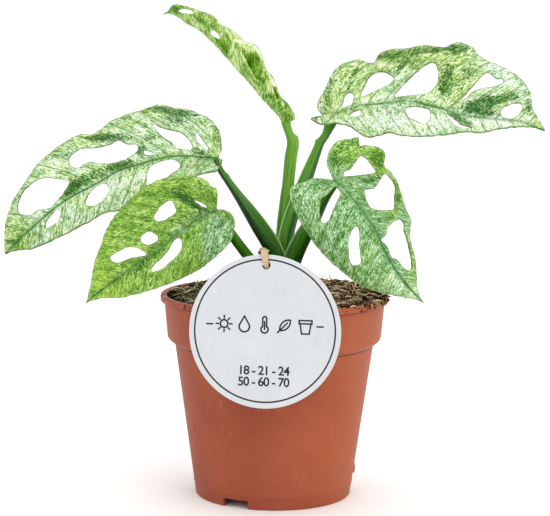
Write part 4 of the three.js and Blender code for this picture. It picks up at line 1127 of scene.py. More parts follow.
# Holes and margins are outlines. Each half has the share of its margin that fans out from the blade's
# base, its tilt away from the eye at base and tip, its arch, and its waves' height, number and phase.
left_upper = {
    "rib": [
        (-30, 177.5), (-39.5, 178), (-50, 178.5), (-60.5, 177), (-71, 174), (-81.5, 170.5), (-92, 164.5),
        (-111.5, 153.5), (-127, 140.5), (-142, 126)],
    "depth": (-9, -10, -5),
    "halves": [
        {"margin": [
            (-28.5, 182), (-29, 188), (-30, 192), (-35.5, 198), (-46, 202.5), (-52.5, 203), (-60.5, 205),
            (-70, 202), (-78, 199.5), (-86, 196), (-93, 190.5), (-96, 189), (-102, 189), (-111.5, 184),
            (-118, 179), (-125, 172.5), (-133, 161), (-138.5, 151.5), (-141.5, 140), (-142, 126)],
         "fan": 0.17, "fan_rows": 6, "tilt": (0.95, 0.35), "arch": -2.5, "waves": (2.2, 5, 0.4)},
        {"margin": [
            (-28, 176.8), (-29.5, 172.5), (-31.5, 170.5), (-39, 169), (-47.5, 164.5), (-58, 158),
            (-71, 152.5), (-82.5, 149.5), (-90, 148), (-97.5, 143.5), (-107, 138.5), (-118, 133),
            (-128.5, 129), (-138.5, 127.5), (-142, 126)],
         "fan": 0.12, "fan_rows": 5, "tilt": (-0.55, -0.7), "arch": 3, "waves": (2, 4, 1.2)}],
    "holes": [
        [(-41.5, 191), (-39.5, 188.5), (-35.5, 182.5), (-36, 181.5), (-39.5, 184.5), (-41.5, 186.5)],
        [(-65.5, 197), (-60.5, 193.5), (-49.5, 190.5), (-46, 187.5), (-43.5, 183.5), (-44, 182),
         (-51.5, 182.5), (-54.5, 185.5), (-59, 188)],
        [(-69, 181), (-65.5, 180.5), (-63, 179.2), (-68.5, 179)],
        [(-108, 176), (-107, 178), (-102, 181.5), (-95.5, 182), (-85.5, 184.5), (-81.5, 186.5),
         (-78.5, 184.5), (-72.5, 184), (-72, 181), (-82.5, 175), (-92, 174), (-97, 175), (-104, 171.5),
         (-107, 172.5)],
        [(-122, 166), (-109, 165), (-108, 164), (-118.5, 150.5), (-124, 149.5), (-129.5, 146.5),
         (-134.5, 148.5), (-133, 157), (-129, 162)],
        [(-114.5, 149.5), (-112.5, 148.5), (-113.5, 144.5), (-117, 141), (-120, 140), (-120, 142.5)],
        [(-89, 163.5), (-87, 160), (-90.5, 154.5), (-95, 152), (-99.5, 152.5), (-95.5, 160.5)],
        [(-65, 173), (-59.5, 175.5), (-55.5, 176.5), (-52, 176), (-50, 173), (-56.5, 167.5),
         (-61.5, 162), (-66, 160.5), (-67.5, 167)]],
    "quilt": 0.6,
    # Deep patches are dark green but for the band at x -88, z 187.5, which is painted shadow where the
    # margin curls under.
    "deep": [
        (-62, 202.5, 9, 2.2, 2, 0.6), (-47, 200.5, 8, 2.2, -5, 0.6), (-53.2, 197.5, 8, 3.2, -12, 0.6),
        (-88, 187.5, 11, 2.6, 3, 0.8), (-70.9, 181.4, 3.5, 3, 0, 0.8), (-92, 169, 14, 3, 22, 0.5),
        (-79.5, 173.5, 7, 2.6, 20, 0.6), (-108.6, 160.5, 8, 4, 25, 0.8), (-138, 133, 6, 4, 50, 0.35),
        (-130, 134, 9, 6, 40, 0.2), (-31, 189, 9, 3, 110, 0.45), (-40, 180, 7, 3, -10, 0.45),
        (-64.7, 188.2, 5, 2, 0, 0.6), (-104, 180, 14, 2, 30, 0.2)],
    "lime": [
        (-135, 134, 9, 8, 50, 0.6), (-60, 203, 22, 3, 0, 0.6), (-30, 190, 4, 12, 0, 0.5),
        (-100, 186, 16, 3, 20, 0.5)],
    "fresh": [(-137, 131, 7, 5, 50, 0.35)],
    "pale": [
        (-92, 160, 8, 4, 25, 0.2), (-75, 165, 10, 5, 25, 0.2), (-105, 155, 7, 4, 30, 0.15),
        (-66, 190, 9, 5, -20, 0.2), (-58, 158, 16, 4, 22, 0.05), (-118, 168, 14, 3, 50, 0.2)],
}
add_leaf(
    "leaf_left_upper", left_upper,
    leaf_upper_side("left_upper_top", tone=0.375, lime=0.45, contrast=4, rib=(0.4, 0.9)),
    leaf_under_side("left_upper_under", [(0.3, "8fb073"), (0.7, "c4d8b4")]),
    rim_material("left_upper_rim", "3c5a1c", "6d8c46"),
)


# The lower left leaf
# A greener leaf of the same kind that hangs down in front on the left. Its margins are yellow green, and
# the middle and the lobe beside the stalk are bluish.
left_lower = {
    "rib": [
        (-31, 150.5), (-39.5, 146), (-50, 138.5), (-60.5, 129.5), (-71, 122.5), (-83, 113.5),
        (-91, 107.5), (-99.5, 100.5)],
    "depth": (-24, -34, -46),
    "halves": [
        {"margin": [
            (-31, 155.5), (-31.5, 159), (-31, 161.5), (-34, 162.5), (-36, 165.5), (-39, 167), (-50, 168),
            (-60.5, 166), (-70.5, 160.5), (-81.5, 150), (-89, 138.5), (-92, 129.5), (-95, 121),
            (-96.5, 111.5), (-99.5, 100.5)],
         "fan": 0.3, "fan_rows": 8, "tilt": (-0.15, 0.05), "arch": -3, "waves": (1.5, 3, 2.4)},
        {"margin": [
            (-28.5, 150.5), (-25, 149.5), (-22, 146), (-21.5, 141), (-23.5, 134), (-28, 128.5),
            (-39.5, 119), (-51, 113), (-65.5, 107.5), (-81.5, 103.5), (-91, 103), (-99.5, 100.5)],
         "fan": 0.3, "fan_rows": 7, "tilt": (-0.4, -0.3), "arch": -2.5, "waves": (1.2, 3, 0)}],
    "holes": [
        [(-42, 155), (-39.5, 154.5), (-36.5, 152.5), (-36, 151.5), (-38.5, 152), (-40.5, 153.5)],
        [(-54.5, 155), (-53, 152.5), (-52, 149.5), (-53, 148), (-61, 144), (-63.5, 146), (-62, 149),
         (-59.5, 152.5)],
        [(-69.5, 137), (-65.5, 138.5), (-61.5, 136), (-62, 134), (-65, 132), (-68, 132), (-70.5, 133.5)],
        [(-86.5, 124.5), (-83, 127.5), (-78, 130), (-73, 130), (-67.5, 126.5), (-75.5, 124.5),
         (-84, 122)],
        [(-51.5, 135.5), (-49.5, 134.5), (-49, 131.5), (-50, 128), (-57.5, 120.5), (-61.5, 118),
         (-64.5, 117.5), (-64.5, 119.5), (-57, 127.5), (-54, 132.5)]],
    "quilt": 0.7,
    # Deep patches are dark green but for the first three, which are painted shade along the fold of the
    # upper lobe.
    "deep": [
        (-38.5, 151.5, 5, 2, -20, 0.7), (-46, 155.5, 7, 3, -28, 0.6), (-53, 158, 5, 1.6, -8, 0.4),
        (-47, 162, 16, 4, 0, 0.2), (-70, 121, 20, 2.5, 38, 0.3), (-29, 137, 8, 13, 0, 0.15)],
    "lime": [(-50, 141, 20, 5, 38, -0.35), (-30, 134, 10, 16, 0, -1)],
    "fresh": [
        (-92, 111, 13, 9, -50, 1), (-90, 128, 16, 4, 70, 0.6), (-72, 157, 18, 3, 38, 0.35),
        (-48, 165, 14, 3, 0, 0.3)],
    "pale": [(-94, 108, 8, 6, -50, 0.1)],
}
GREEN_TONES = [(0, "d2e4a0"), (0.25, "a9cc62"), (0.5, "7eac34"), (0.75, "4a820a"), (1, "1c4e00")]
add_leaf(
    "leaf_left_lower", left_lower,
    leaf_upper_side(
        "left_lower_top", tone=0.55, lime=1, contrast=3.4, rib=(0.3, 0.4), lime_tones=GREEN_TONES),
    leaf_under_side("left_lower_under", [(0.3, "6d9a3c"), (0.7, "9dc066")]),
    rim_material("left_lower_rim", "3c5e10", "668a28"),
)


# The furled leaf
# The youngest leaf, at the back, is still rolled up along its midrib. Its pale, finely ribbed underside is
# outside, and its dark, fresh upper side shows inside the roll through the windows, painted lighter than
# it is, as painted light inside the roll.
FURLED_ROW_STEPS = 150
FURLED_TURN_STEPS = 100
FURLED_VEIN_SPACING = 1.7
FURLED_SLANT = 0.9
FURLED_VEIN_RIDGE = 0.06
FURLED_CRINKLES = ((0.4, 130), (0.25, 420))
FURLED_OUTSIDE_TONES = [(0, "e6eacb"), (0.25, "cbdc98"), (0.5, "9cc058"), (0.75, "659828"), (1, "2f6808")]
# The inside tones are painted lighter than the blade's own colour: painted light inside the dark roll.
FURLED_INSIDE_PAINTED_LIGHT_TONES = [(0, "fcffd0"), (0.35, "daf088"), (0.62, "a4dc48"), (0.9, "5cac18"), (1, "3f8c0c")]
FOLD_STEPS = 24
FOLD_WIDTH = 0.62
FOLD_HEIGHT = 0.3
FOLD_PALENESS = 0.62
FOLD_SHADE = 0.22
furled = {
    "spine": [
        (3.5, 196.5), (1, 200), (-3.5, 204.5), (-14, 216.5), (-24.5, 228), (-34.5, 238.5), (-40, 243.5),
        (-46.8, 247.2), (-51.5, 250.6), (-55.5, 252.2), (-59, 251.5)],
    "crest": [
        (8, 197.5), (9.5, 198.5), (8, 203), (5.5, 206.5), (2, 209.5), (-2, 219), (-5.5, 223.5),
        (-8, 230.5), (-11, 236), (-16, 237.5), (-23, 243.5), (-29, 246.5), (-33, 250.5), (-45, 255),
        (-53.5, 256.5), (-56, 253.5), (-59, 251.5)],
    "depth": (13, 34, 69),
    "roundness": 0.42,
    "front_turn": 168,
    "back_turn": 196,
    "front_holes": [
        [(-34.7, 243.3), (-33.2, 243.8), (-30.8, 242), (-27.4, 238.7), (-25.4, 235), (-25.4, 232.6),
         (-27.4, 233.1), (-30, 236.8), (-33.7, 241.2)],
        [(-16, 231.6), (-13.4, 232.2), (-11.4, 231.4), (-10, 229.2), (-8.9, 225.5), (-8.3, 221.4),
         (-8.6, 219), (-9.6, 218), (-11.3, 219.8), (-13.4, 223.4), (-15.5, 227.5), (-16.5, 230.1)],
        [(-1.8, 214.8), (-0.7, 214.8), (0.4, 212.2), (1.2, 209.1), (0.5, 208.1), (-0.8, 210.6)]],
    "through_holes": [
        [(-51.5, 253.6), (-46, 254.4), (-43, 252.4), (-47.5, 252.2)],
        [(-34.7, 243.3), (-33.2, 243.8), (-31.1, 242.3), (-29.5, 240.3), (-30, 239.2), (-33.7, 241.2)]],
    "deep": [
        (-54, 254.5, 4, 2, -15, 0.5), (-12, 225, 8, 4, -60, 0.2), (-40, 249, 5, 1.5, -30, 0.3),
        (-2, 208, 10, 1.5, -50, 0.3), (3, 204, 8, 5, -55, 0.12)],
    "pale": [
        (-24, 243, 7, 2.5, -40, 0.45), (-14, 236, 7, 3, -30, 0.55), (-21, 231, 5, 2, -55, 0.4),
        (-5, 224, 5, 1.6, -65, 0.4), (-1, 214, 6, 2, -60, 0.25)],
    "folds": [
        [(-31, 247.6), (-28, 246), (-24.9, 241.8), (-22.5, 235.7), (-24.4, 231.1)],
        [(-21.8, 238.3), (-16.1, 237.2), (-12, 235.2), (-8.9, 230.6), (-6.8, 224.4), (-7.6, 218.8)],
        [(-18.2, 231.6), (-15.1, 225.5), (-12, 220.3), (-8.9, 217.3)],
        [(-4.7, 221.4), (-1.6, 216.2), (1.5, 211.1), (3.5, 205)]],
}
spine, crest = outline_curve(furled["spine"]), outline_curve(furled["crest"])
fold_spots = [
    outline_curve(fold).along(step / FOLD_STEPS).xy
    for fold in furled["folds"] for step in range(FOLD_STEPS + 1)]


def fold_marks(place):
    """How near a place in the view is to the pale crest of a fold, and to the shade beside it."""
    off = min(math.dist(place, spot) for spot in fold_spots) / FOLD_WIDTH
    return math.exp(-off ** 2), math.exp(-(off - 2) ** 2)


bm = bmesh.new()
layers = [bm.loops.layers.uv.new(name) for name in ("veins", "edge", "tones")]
made = bmesh.ops.create_grid(
    bm, x_segments=FURLED_ROW_STEPS, y_segments=FURLED_TURN_STEPS, size=0.5)["verts"]
marks = {}
crests = {}
front_verts = set()
for vert in made:
    share, roll_share = vert.co.x + 0.5, 2 * vert.co.y
    low, high = spine.along(share), crest.along(share)
    width = (high - low).length
    turn = math.radians(roll_share * (furled["front_turn"] if roll_share < 0 else furled["back_turn"]))
    place = low.lerp(high, (1 - math.cos(turn)) / 2)
    depth = depth_along(furled["depth"], share) + furled["roundness"] * width * math.sin(turn)
    vert.co = seen(place.x, place.y, depth)
    crests[vert], shade_beside = fold_marks(place.xy)
    # The painted shadow beside each fold is added to the deep patches, and the fold's pale crest to the
    # pale ones.
    marks[vert] = (
        (share * spine.lengths[-1], turn * width / 2), ((1 - abs(roll_share)) * width, share),
        (patch_amount(furled["deep"], *place.xy) + FOLD_SHADE * shade_beside,
         patch_amount(furled["pale"], *place.xy) + FOLD_PALENESS * crests[vert]))
    if -2 < turn < -0.5:
        front_verts.add(vert)
mark_loops(made, layers, marks)
turned_to_the_eye(bm, [face for face in bm.faces if all(vert in front_verts for vert in face.verts)])
for vert in bm.verts:
    row, out = vert.link_loops[0][layers[0]].uv
    beat = math.sin(math.tau * (row - FURLED_SLANT * abs(out)) / (2 * FURLED_VEIN_SPACING))
    ridge = FURLED_VEIN_RIDGE * beat * min(1, abs(out) / 3) + FOLD_HEIGHT * crests[vert]
    vert.co += vert.normal * (ridge + crinkled(vert.co, FURLED_CRINKLES)) * MM


def spine_depth(place):
    """The depth of the roll's midrib where it passes nearest to a place in the view."""
    shares = [i / BODY_STEPS for i in range(BODY_STEPS + 1)]
    nearest = min(shares, key=lambda share: (spine.along(share) - place).length)
    return depth_along(furled["depth"], nearest)


def furled_side(name, stops, vein_colour, strength, shine):
    """A side of the furled blade, with fine veins that run slanting from the midrib to the margin. Light
    comes through the thin young blade."""
    material, tree, surface = new_material(name, 0.45, shine)
    surface.inputs["Subsurface Weight"].default_value = 0.7
    surface.inputs["Subsurface Scale"].default_value = 0.002
    surface.inputs["Subsurface Radius"].default_value = (0.9, 0.9, 0.7)
    _, row, across = map_parts(tree, "veins")
    _, from_edge, _ = map_parts(tree, "edge")
    _, deep, pale = map_parts(tree, "tones")
    out = reckoned(tree, "ABSOLUTE", across)
    slanted = weighed(tree, 0, (row, 1), (out, -FURLED_SLANT))
    lined = add_node(tree, "ShaderNodeCombineXYZ", {0: slanted, 1: out}).outputs[0]
    speckle = drawn_out(tree, lined, (1.2, 0.5, 1), 3, 0.9, 1)
    streak = drawn_out(tree, lined, (0.6, 0.2, 1), 4, 0.8, 1.5)
    cloud = noise_of(tree, object_place(tree), 130, 3, 0.6)
    # deep holds the dark green patches and the painted shadow beside the folds.
    value = weighed(
        tree, -2.5, (speckle, 2.8), (streak, 2), (cloud, 1.4), (deep, 0.8), (pale, -0.7))
    body = ramp(tree, value, stops)
    off_vein = reckoned(tree, "PINGPONG", slanted, FURLED_VEIN_SPACING / 2)
    line = times(tree, faded(tree, off_vein, 0.4, 0.1), weighed(tree, 0, (cloud, strength)))
    body = toned(tree, body, vein_colour, line)
    body = toned(tree, body, "5c8a3c", faded(tree, out, 1.8, 0.4), 0.8)
    body = toned(tree, body, "a9c878", faded(tree, from_edge, 0.8, 0.2), 0.3)
    coat(tree, surface, body, weighed(tree, 0, (speckle, 1), (streak, 1)), 0.0004, 0.6)
    return material


furled_rim = rim_material("furled_rim", "5d8a26", "a3c266")
furled_leaf = add_piece(
    "leaf_furled", plain_mesh(bm, "leaf_furled"),
    furled_side("furled_outside", FURLED_OUTSIDE_TONES, "5f8f2c", 0.3, 0.2),
    furled_side("furled_inside", FURLED_INSIDE_PAINTED_LIGHT_TONES, "3f7d08", 0.4, 0.3),
    furled_rim,
)
thickened(furled_leaf, [
    [(outline, spine_depth) for outline in furled["front_holes"]],
    [(outline, lambda place: HOLE_FAR) for outline in furled["through_holes"]],
], furled_rim)
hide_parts("leaf_furled")
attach(furled_leaf, "root")


# The upper right leaf
# Its far half and base are yellow green with green patches, and its near half is almost white. A deep
# green patch lies above the bluish midrib near the tip.
right_upper = {
    "rib": [
        (30.5, 201.5), (43.5, 205.5), (54, 206.5), (64, 208), (70.5, 208), (77, 206.5), (85, 204.5),
        (95.5, 201.5), (106, 200), (116.5, 199), (127, 198), (140, 193.5)],
    "depth": (26, 26, 8),
    "halves": [
        {"margin": [
            (24.5, 199.8), (21.5, 203.5), (21.5, 207), (25.5, 214.5), (29.5, 223), (33.5, 226.5),
            (42, 229), (50, 227.5), (54, 232.5), (58.5, 234.5), (68.5, 235.5), (75, 237), (87, 236),
            (92.5, 238.5), (100.5, 236.5), (104.5, 232), (111, 228.5), (119.5, 225), (126.5, 220),
            (131.5, 213.5), (133, 205.5), (140, 193.5)],
         "fan": 0.24, "fan_rows": 8, "tilt": (1.05, 0.35), "arch": -2.5, "waves": (2.4, 5, 0)},
        {"margin": [
            (20.5, 199.3), (18, 198.5), (23, 195.5), (31, 196), (38.5, 194.5), (45, 190), (48, 189),
            (59.5, 191.5), (64, 190.5), (76, 190), (90.5, 191), (98.5, 192.5), (106, 192), (116.5, 194),
            (127, 195.3), (135, 195), (140, 193.5)],
         "fan": 0.17, "fan_rows": 6, "tilt": (-1.6, -0.9), "arch": 2.5, "waves": (2, 4, 0.6)}],
    "holes": [
        [(37.5, 212), (39.5, 211.5), (39.5, 206.5), (37.5, 205.2), (33.8, 204.5), (34.5, 207), (36, 211)],
        [(44, 210.5), (45, 214), (46.5, 217.5), (49, 221), (55, 223), (61, 219.5), (59.5, 217.5),
         (48.5, 212)],
        [(61.5, 210.5), (64, 214.5), (70.5, 221), (79.5, 228), (82, 227.5), (83.5, 222.5), (83, 217),
         (78.5, 212.5), (69, 211)],
        [(109, 223), (114, 220), (117, 220), (117.5, 218), (102.5, 213.5), (98, 209.5), (90, 205.5),
         (95, 208.5), (101, 215)],
        [(116.5, 203), (118, 205), (123.5, 207.5), (126.5, 207.5), (127.5, 205.5), (125.5, 201),
         (121, 199.5), (117.5, 200.5)],
        [(38, 200.5), (43.5, 203.3), (43.5, 200.5), (41, 199.5)],
        [(67, 203.5), (69, 205), (79.5, 203.5), (80, 200), (77.5, 196), (75, 197), (69, 199.5)],
        [(88.5, 201.5), (93.5, 198.3), (96, 196.3), (102, 194.3), (93.5, 195), (91, 197.5)]],
    "quilt": 0.6,
    "deep": [
        (76.6, 234.5, 9, 2.2, 0, 0.6), (93, 235.5, 9, 2.4, 0, 0.7), (88, 222, 9, 4, 72, 0.6),
        (98, 221, 8, 4, 55, 0.45), (88, 213, 4, 4, 0, 0.4), (106.5, 206.5, 12, 3.8, 13, 0.75),
        (119.7, 210.5, 9, 2.2, 8, 0.6), (111.6, 202, 8, 1.8, -2, 0.5), (131.5, 206, 6, 3, 80, 0.4),
        (95.4, 198.7, 8, 1.8, -28, 1), (56, 231.5, 14, 2, 5, 0.45), (66, 229, 14, 5, 0, 0.35),
        (38.6, 217, 12, 1.6, 68, 0.5), (29, 216, 9, 2, 60, 0.3), (62, 225, 12, 3, 40, 0.25)],
    "lime": [
        (40, 218, 16, 10, 30, 0.7), (75, 230, 26, 6, 0, 0.9), (28, 207, 8, 8, 0, 0.3),
        (90, 215, 10, 12, 0, 0.4), (138, 196, 5, 4, 0, 0.5)],
    "fresh": [(138, 196, 4, 3, 0, 0.3), (70, 231, 22, 4, 0, 0.25), (90, 222, 9, 6, 60, 0.25)],
    "pale": [
        (75, 197, 38, 5, 0, 0.25), (115.7, 222, 14, 5, -30, 0.2), (88, 209, 14, 3, -5, 0.25),
        (118, 197, 20, 3, 0, 0.3), (50, 209, 12, 3, 10, 0.2)],
}
add_leaf(
    "leaf_right_upper", right_upper,
    leaf_upper_side("right_upper_top", tone=0.385, lime=0.42, contrast=4.4, rib=(0.35, 0.35)),
    leaf_under_side("right_upper_under", [(0.3, "93b277"), (0.7, "c8dab8")]),
    rim_material("right_upper_rim", "3c5a1c", "75944e"),
)


# The lower right leaf
# A bluish mint leaf that hangs in front on the right, finely speckled with white. Its basal lobe curls
# over in bright green, and a yellow green strip runs down its outer margin.
right_lower = {
    "rib": [
        (30.5, 166.5), (37, 161), (44, 152.5), (48.5, 146.5), (52.5, 140.5), (57.5, 129.5),
        (65.5, 116.5), (70, 111), (78.5, 102)],
    "depth": (-30, -38, -42),
    "halves": [
        {"margin": [
            (27, 166.5), (20.5, 167.5), (12.5, 164), (9.5, 163.5), (7.5, 160.5), (8, 156), (14, 143),
            (24, 129), (34, 119.5), (45, 111.5), (54, 108), (66, 105.5), (76, 103.5), (78.5, 102)],
         "fan": 0.22, "fan_rows": 6, "tilt": (-0.15, -0.1), "arch": -4, "waves": (1.2, 3, 0)},
        {"margin": [
            (29, 170), (27, 174.5), (27, 178.5), (30.5, 185.5), (33.5, 187.5), (38.5, 188),
            (42.5, 189), (43.5, 184.5), (47, 185), (55.5, 182.5), (57, 179.5), (56.5, 174.5),
            (59.5, 171.5), (63, 166.5), (66.5, 156.5), (68.5, 151), (71, 145.5), (70.5, 138),
            (72.8, 127.5), (74.3, 121), (74.8, 114.5), (75.5, 107.5), (78.5, 102)],
         "fan": 0.5, "fan_rows": 18, "tilt": (0.5, 0.3), "arch": -3, "waves": (2, 4, 1)}],
    "holes": [
        [(31.5, 163), (34, 160), (32.5, 156.5), (30, 151), (27.5, 145), (25.5, 144), (24, 146),
         (23.5, 155.5), (26.5, 158.5)],
        [(42.5, 142.5), (44, 140.5), (44, 135), (45, 124), (44.5, 122.5), (41, 122), (39.5, 124),
         (39, 136.5)],
        [(35.5, 168.8), (35.5, 170.5), (39, 172.5), (41.5, 176), (44.5, 179.5), (49, 175.5), (52, 171),
         (49, 170), (40, 169)],
        [(46.5, 161.5), (52, 163), (54.5, 167), (57, 170), (59, 168.5), (62, 164.5), (62, 156.5),
         (62, 151.5), (58.5, 151), (49.5, 152.5), (47, 159)],
        [(65.5, 146.5), (67, 144), (67.5, 140.5), (69, 135.5), (71.5, 124.5), (71.5, 120),
         (69.5, 119.5), (63.5, 125.5), (61.5, 126), (59, 132), (55.5, 135.3), (58, 138), (59, 142)]],
    "quilt": 0.6,
    "deep": [
        (38.5, 185, 9, 3, 0, 0.2), (53.2, 177.3, 6, 6, 0, 0.5), (33, 178, 5, 6, 0, 0.3),
        (63, 158, 3, 10, -12, 0.5), (50, 166.5, 6, 2.5, 25, 0.3)],
    "lime": [
        (40, 180, 14, 9, 0, 0.7), (54, 178, 8, 8, 0, 0.8), (63.5, 163, 3, 12, -15, 1),
        (72, 120, 4, 22, 0, 0.4)],
    "fresh": [
        (63.5, 160, 3.5, 13, -13, 0.9), (54, 177, 7, 7, 0, 0.7), (72, 120, 3, 20, 0, 0.3),
        (38, 183, 10, 5, 0, 0.35), (60, 112, 10, 8, 0, 0.15)],
    "pale": [(18, 160, 9, 8, 0, 0.05), (70, 108, 13, 7, -40, 0.25)],
}
add_leaf(
    "leaf_right_lower", right_lower,
    leaf_upper_side("right_lower_top", tone=0.6, lime=0.25, contrast=3.1, rib=(0.5, 0.6)),
    leaf_under_side("right_lower_under", [(0.3, "7fa778"), (0.7, "aecaa6")]),
    rim_material("right_lower_rim", "345a20", "648c50"),
)


# The tag
# A round disc of pale grey card that leans against the pot's lip, punched near the top. A thin dark ring, a
# row of outline care signs between two dashes and two lines of plain numbers are printed on it.
TAG_RADIUS = 38.1
TAG_THICKNESS = 0.6
TAG_LEAN = 6
TAG_TURN = -10
TAG_HOLE_RADIUS = 2.1
TAG_HOLE_DROP = 5.3
TAG_CENTRE_SEEN = (-5.1, 86)
TAG_GAP = 0.3
PRINT_RING_RADIUS = 35.3
PRINT_RING_UP = 0.3
PRINT_LINE = 0.78
PRINT_PROUD = 0.04
PRINT_TILT = -0.5
SIGN_ROW_UP = 3.4
SIGN_SPACING = 10.2
DASH_OUT = 27.7
DASH_DROP = 0.3
HALF_DASH = 1.5
PRINT_BOLDNESS = 0.12
NUMBER_SIZE = 6.2
NUMBER_SPACING = 0.9
NUMBER_ROWS = (("18 - 21 - 24", -19.5), ("50 - 60 - 70", -25.1))

tag_facing = Vector((0, -1, 0))
tag_facing.rotate(Matrix.Rotation(-math.radians(TAG_LEAN), 3, "X"))
tag_facing.rotate(Matrix.Rotation(math.radians(TAG_TURN), 3, "Z"))
tag_up = (Vector((0, 0, 1)) - tag_facing * tag_facing.z).normalized()
tag_right = tag_up.cross(tag_facing).normalized()
lip_support = LIP_RADIUS * math.hypot(tag_facing.x, tag_facing.y) + tag_facing.z * (POT_HEIGHT - 1)
tag_plane = (lip_support + TAG_GAP + TAG_THICKNESS / 2) * MM
sight = seen(*TAG_CENTRE_SEEN, 0) - EYE
tag_centre = EYE + sight * ((tag_plane - tag_facing.dot(EYE)) / tag_facing.dot(sight))
tag_place = Matrix((tag_right, tag_up, tag_facing)).transposed().to_4x4()
tag_place.translation = tag_centre

bm = bmesh.new()
for radius, height, steps in ((TAG_RADIUS, 0, 160), (TAG_HOLE_RADIUS, TAG_RADIUS - TAG_HOLE_DROP, 32)):
    at = Matrix.Translation((0, height * MM, -TAG_THICKNESS / 2 * MM))
    bmesh.ops.create_circle(bm, segments=steps, radius=radius * MM, matrix=at)
bmesh.ops.triangle_fill(bm, use_beauty=True, use_dissolve=False, edges=bm.edges[:])
grown = bmesh.ops.extrude_face_region(bm, geom=bm.faces[:], use_keep_orig=True)["geom"]
bmesh.ops.translate(
    bm, vec=(0, 0, TAG_THICKNESS * MM), verts=[v for v in grown if isinstance(v, bmesh.types.BMVert)])
bmesh.ops.recalc_face_normals(bm, faces=bm.faces)
bmesh.ops.transform(bm, matrix=tag_place, verts=bm.verts)
card, tree, surface = new_material("card", 0.6, 0.25)
place = object_place(tree)
fibre = noise_of(tree, place, 260, 4, 0.6)
smudge = noise_of(tree, place, 45, 3, 0.5)
shade_of_card = weighed(tree, 0, (fibre, 0.5), (smudge, 0.5))
grey = ramp(tree, shade_of_card, [(0.25, "c1c6ca"), (0.5, "c6cace"), (0.75, "ccd0d3")])
coat(tree, surface, grey, noise_of(tree, place, 2200, 3, 0.6), 0.00004, 0.4)
tag = add_piece("tag_card", mesh_of(bm, "tag_card", 30), card)
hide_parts("tag")


def bar(bm, x, y, end_x, end_y):
    """A printed line from one place on the card to another."""
    way = Vector((end_x - x, end_y - y, 0))
    middle = Matrix.Translation(Vector(((x + end_x) / 2, (y + end_y) / 2, 0)) * MM)
    turn = Matrix.Rotation(math.atan2(way.y, way.x), 4, "Z")
    size = Matrix.Diagonal(((way.length + PRINT_LINE * 0.8) * MM, PRINT_LINE * MM, 2 * PRINT_PROUD * MM, 1))
    bmesh.ops.create_cube(bm, size=1, matrix=middle @ turn @ size)


def stroke(bm, x, y, points):
    """Printed lines from point to point, all counted from x and y."""
    for (ax, ay), (bx, by) in zip(points, points[1:]):
        bar(bm, x + ax, y + ay, x + bx, y + by)


def arc(radius, start, end, steps=10, x=0, y=0):
    """Points on an arc about x and y, from one angle to another in degrees."""
    angles = [math.radians(start + (end - start) * k / steps) for k in range(steps + 1)]
    return [(x + radius * math.cos(angle), y + radius * math.sin(angle)) for angle in angles]


ring_inner, ring_outer = PRINT_RING_RADIUS - PRINT_LINE / 2, PRINT_RING_RADIUS + PRINT_LINE / 2
bm = spun([
    (ring_inner, -PRINT_PROUD), (ring_outer, -PRINT_PROUD), (ring_outer, PRINT_PROUD),
    (ring_inner, PRINT_PROUD)], TURNING_STEPS)
bmesh.ops.translate(bm, vec=(0, PRINT_RING_UP * MM, 0), verts=bm.verts)
sun_disc, ray_start, ray_end, rays = 1.9, Vector((2.8, 0)), Vector((4, 0)), 8
rays_turned = [Matrix.Rotation(math.tau * k / rays, 2) for k in range(rays)]
# The signs from left to right: sun, drop, thermometer, leaf and flower pot, each as strokes.
signs = [
    [arc(sun_disc, 0, 360, 16)] + [[turn @ ray_start, turn @ ray_end] for turn in rays_turned],
    [[(0, 4)] + arc(2.6, 30, -210, 16, 0, -1.2) + [(0, 4)]],
    [[(1, -1)] + arc(1, 0, 180, 6, 0, 3) + [(-1, -1)], arc(1.8, 125, 415, 14, 0, -2.3),
     [(0, -2.3), (0, 1.6)]],
    [arc(4.6, 188, 82, 10, 1.95, -1.95), arc(4.6, 262, 368, 10, -1.95, 1.95), [(-3.7, -3.7), (1.2, 1.2)]],
    [[(-3.2, 1), (3.2, 1), (3.2, 2.6), (-3.2, 2.6), (-3.2, 1)],
     [(-2.7, 1), (-1.9, -4), (1.9, -4), (2.7, 1)]],
]
for number, sign in enumerate(signs):
    for points in sign:
        stroke(bm, SIGN_SPACING * (number - len(signs) // 2), SIGN_ROW_UP, points)
for x in (-DASH_OUT, DASH_OUT):
    stroke(bm, x, SIGN_ROW_UP - DASH_DROP, [(-HALF_DASH, 0), (HALF_DASH, 0)])
for line, up in NUMBER_ROWS:
    words = bpy.data.curves.new("numbers", "FONT")
    words.body = line
    words.size = NUMBER_SIZE * MM
    words.offset = PRINT_BOLDNESS * MM
    words.space_character = NUMBER_SPACING
    words.align_x = "CENTER"
    words.align_y = "CENTER"
    words.extrude = PRINT_PROUD * MM
    typeset = bpy.data.objects.new("numbers", words)
    bpy.context.collection.objects.link(typeset)
    graph = bpy.context.evaluated_depsgraph_get()
    line_mesh = bpy.data.meshes.new_from_object(typeset.evaluated_get(graph))
    line_mesh.transform(Matrix.Translation((0, up * MM, 0)))
    bm.from_mesh(line_mesh)
    bpy.data.objects.remove(typeset)
bmesh.ops.transform(
    bm, verts=bm.verts, matrix=tag_place @ Matrix.Translation((0, 0, TAG_THICKNESS / 2 * MM))
    @ Matrix.Rotation(-math.radians(PRINT_TILT), 4, "Z"))
ink, tree, surface = new_material("dark_ink", 0.5, 0.3)
patchy = noise_of(tree, object_place(tree), 700, 3, 0.6)
coat(tree, surface, ramp(tree, patchy, [(0.35, "0c0e14"), (0.65, "1b1e28")]))
print_marks = add_piece("tag_print", mesh_of(bm, "tag_print", 30), ink)
for piece in (tag, print_marks):
    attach(piece, "root")


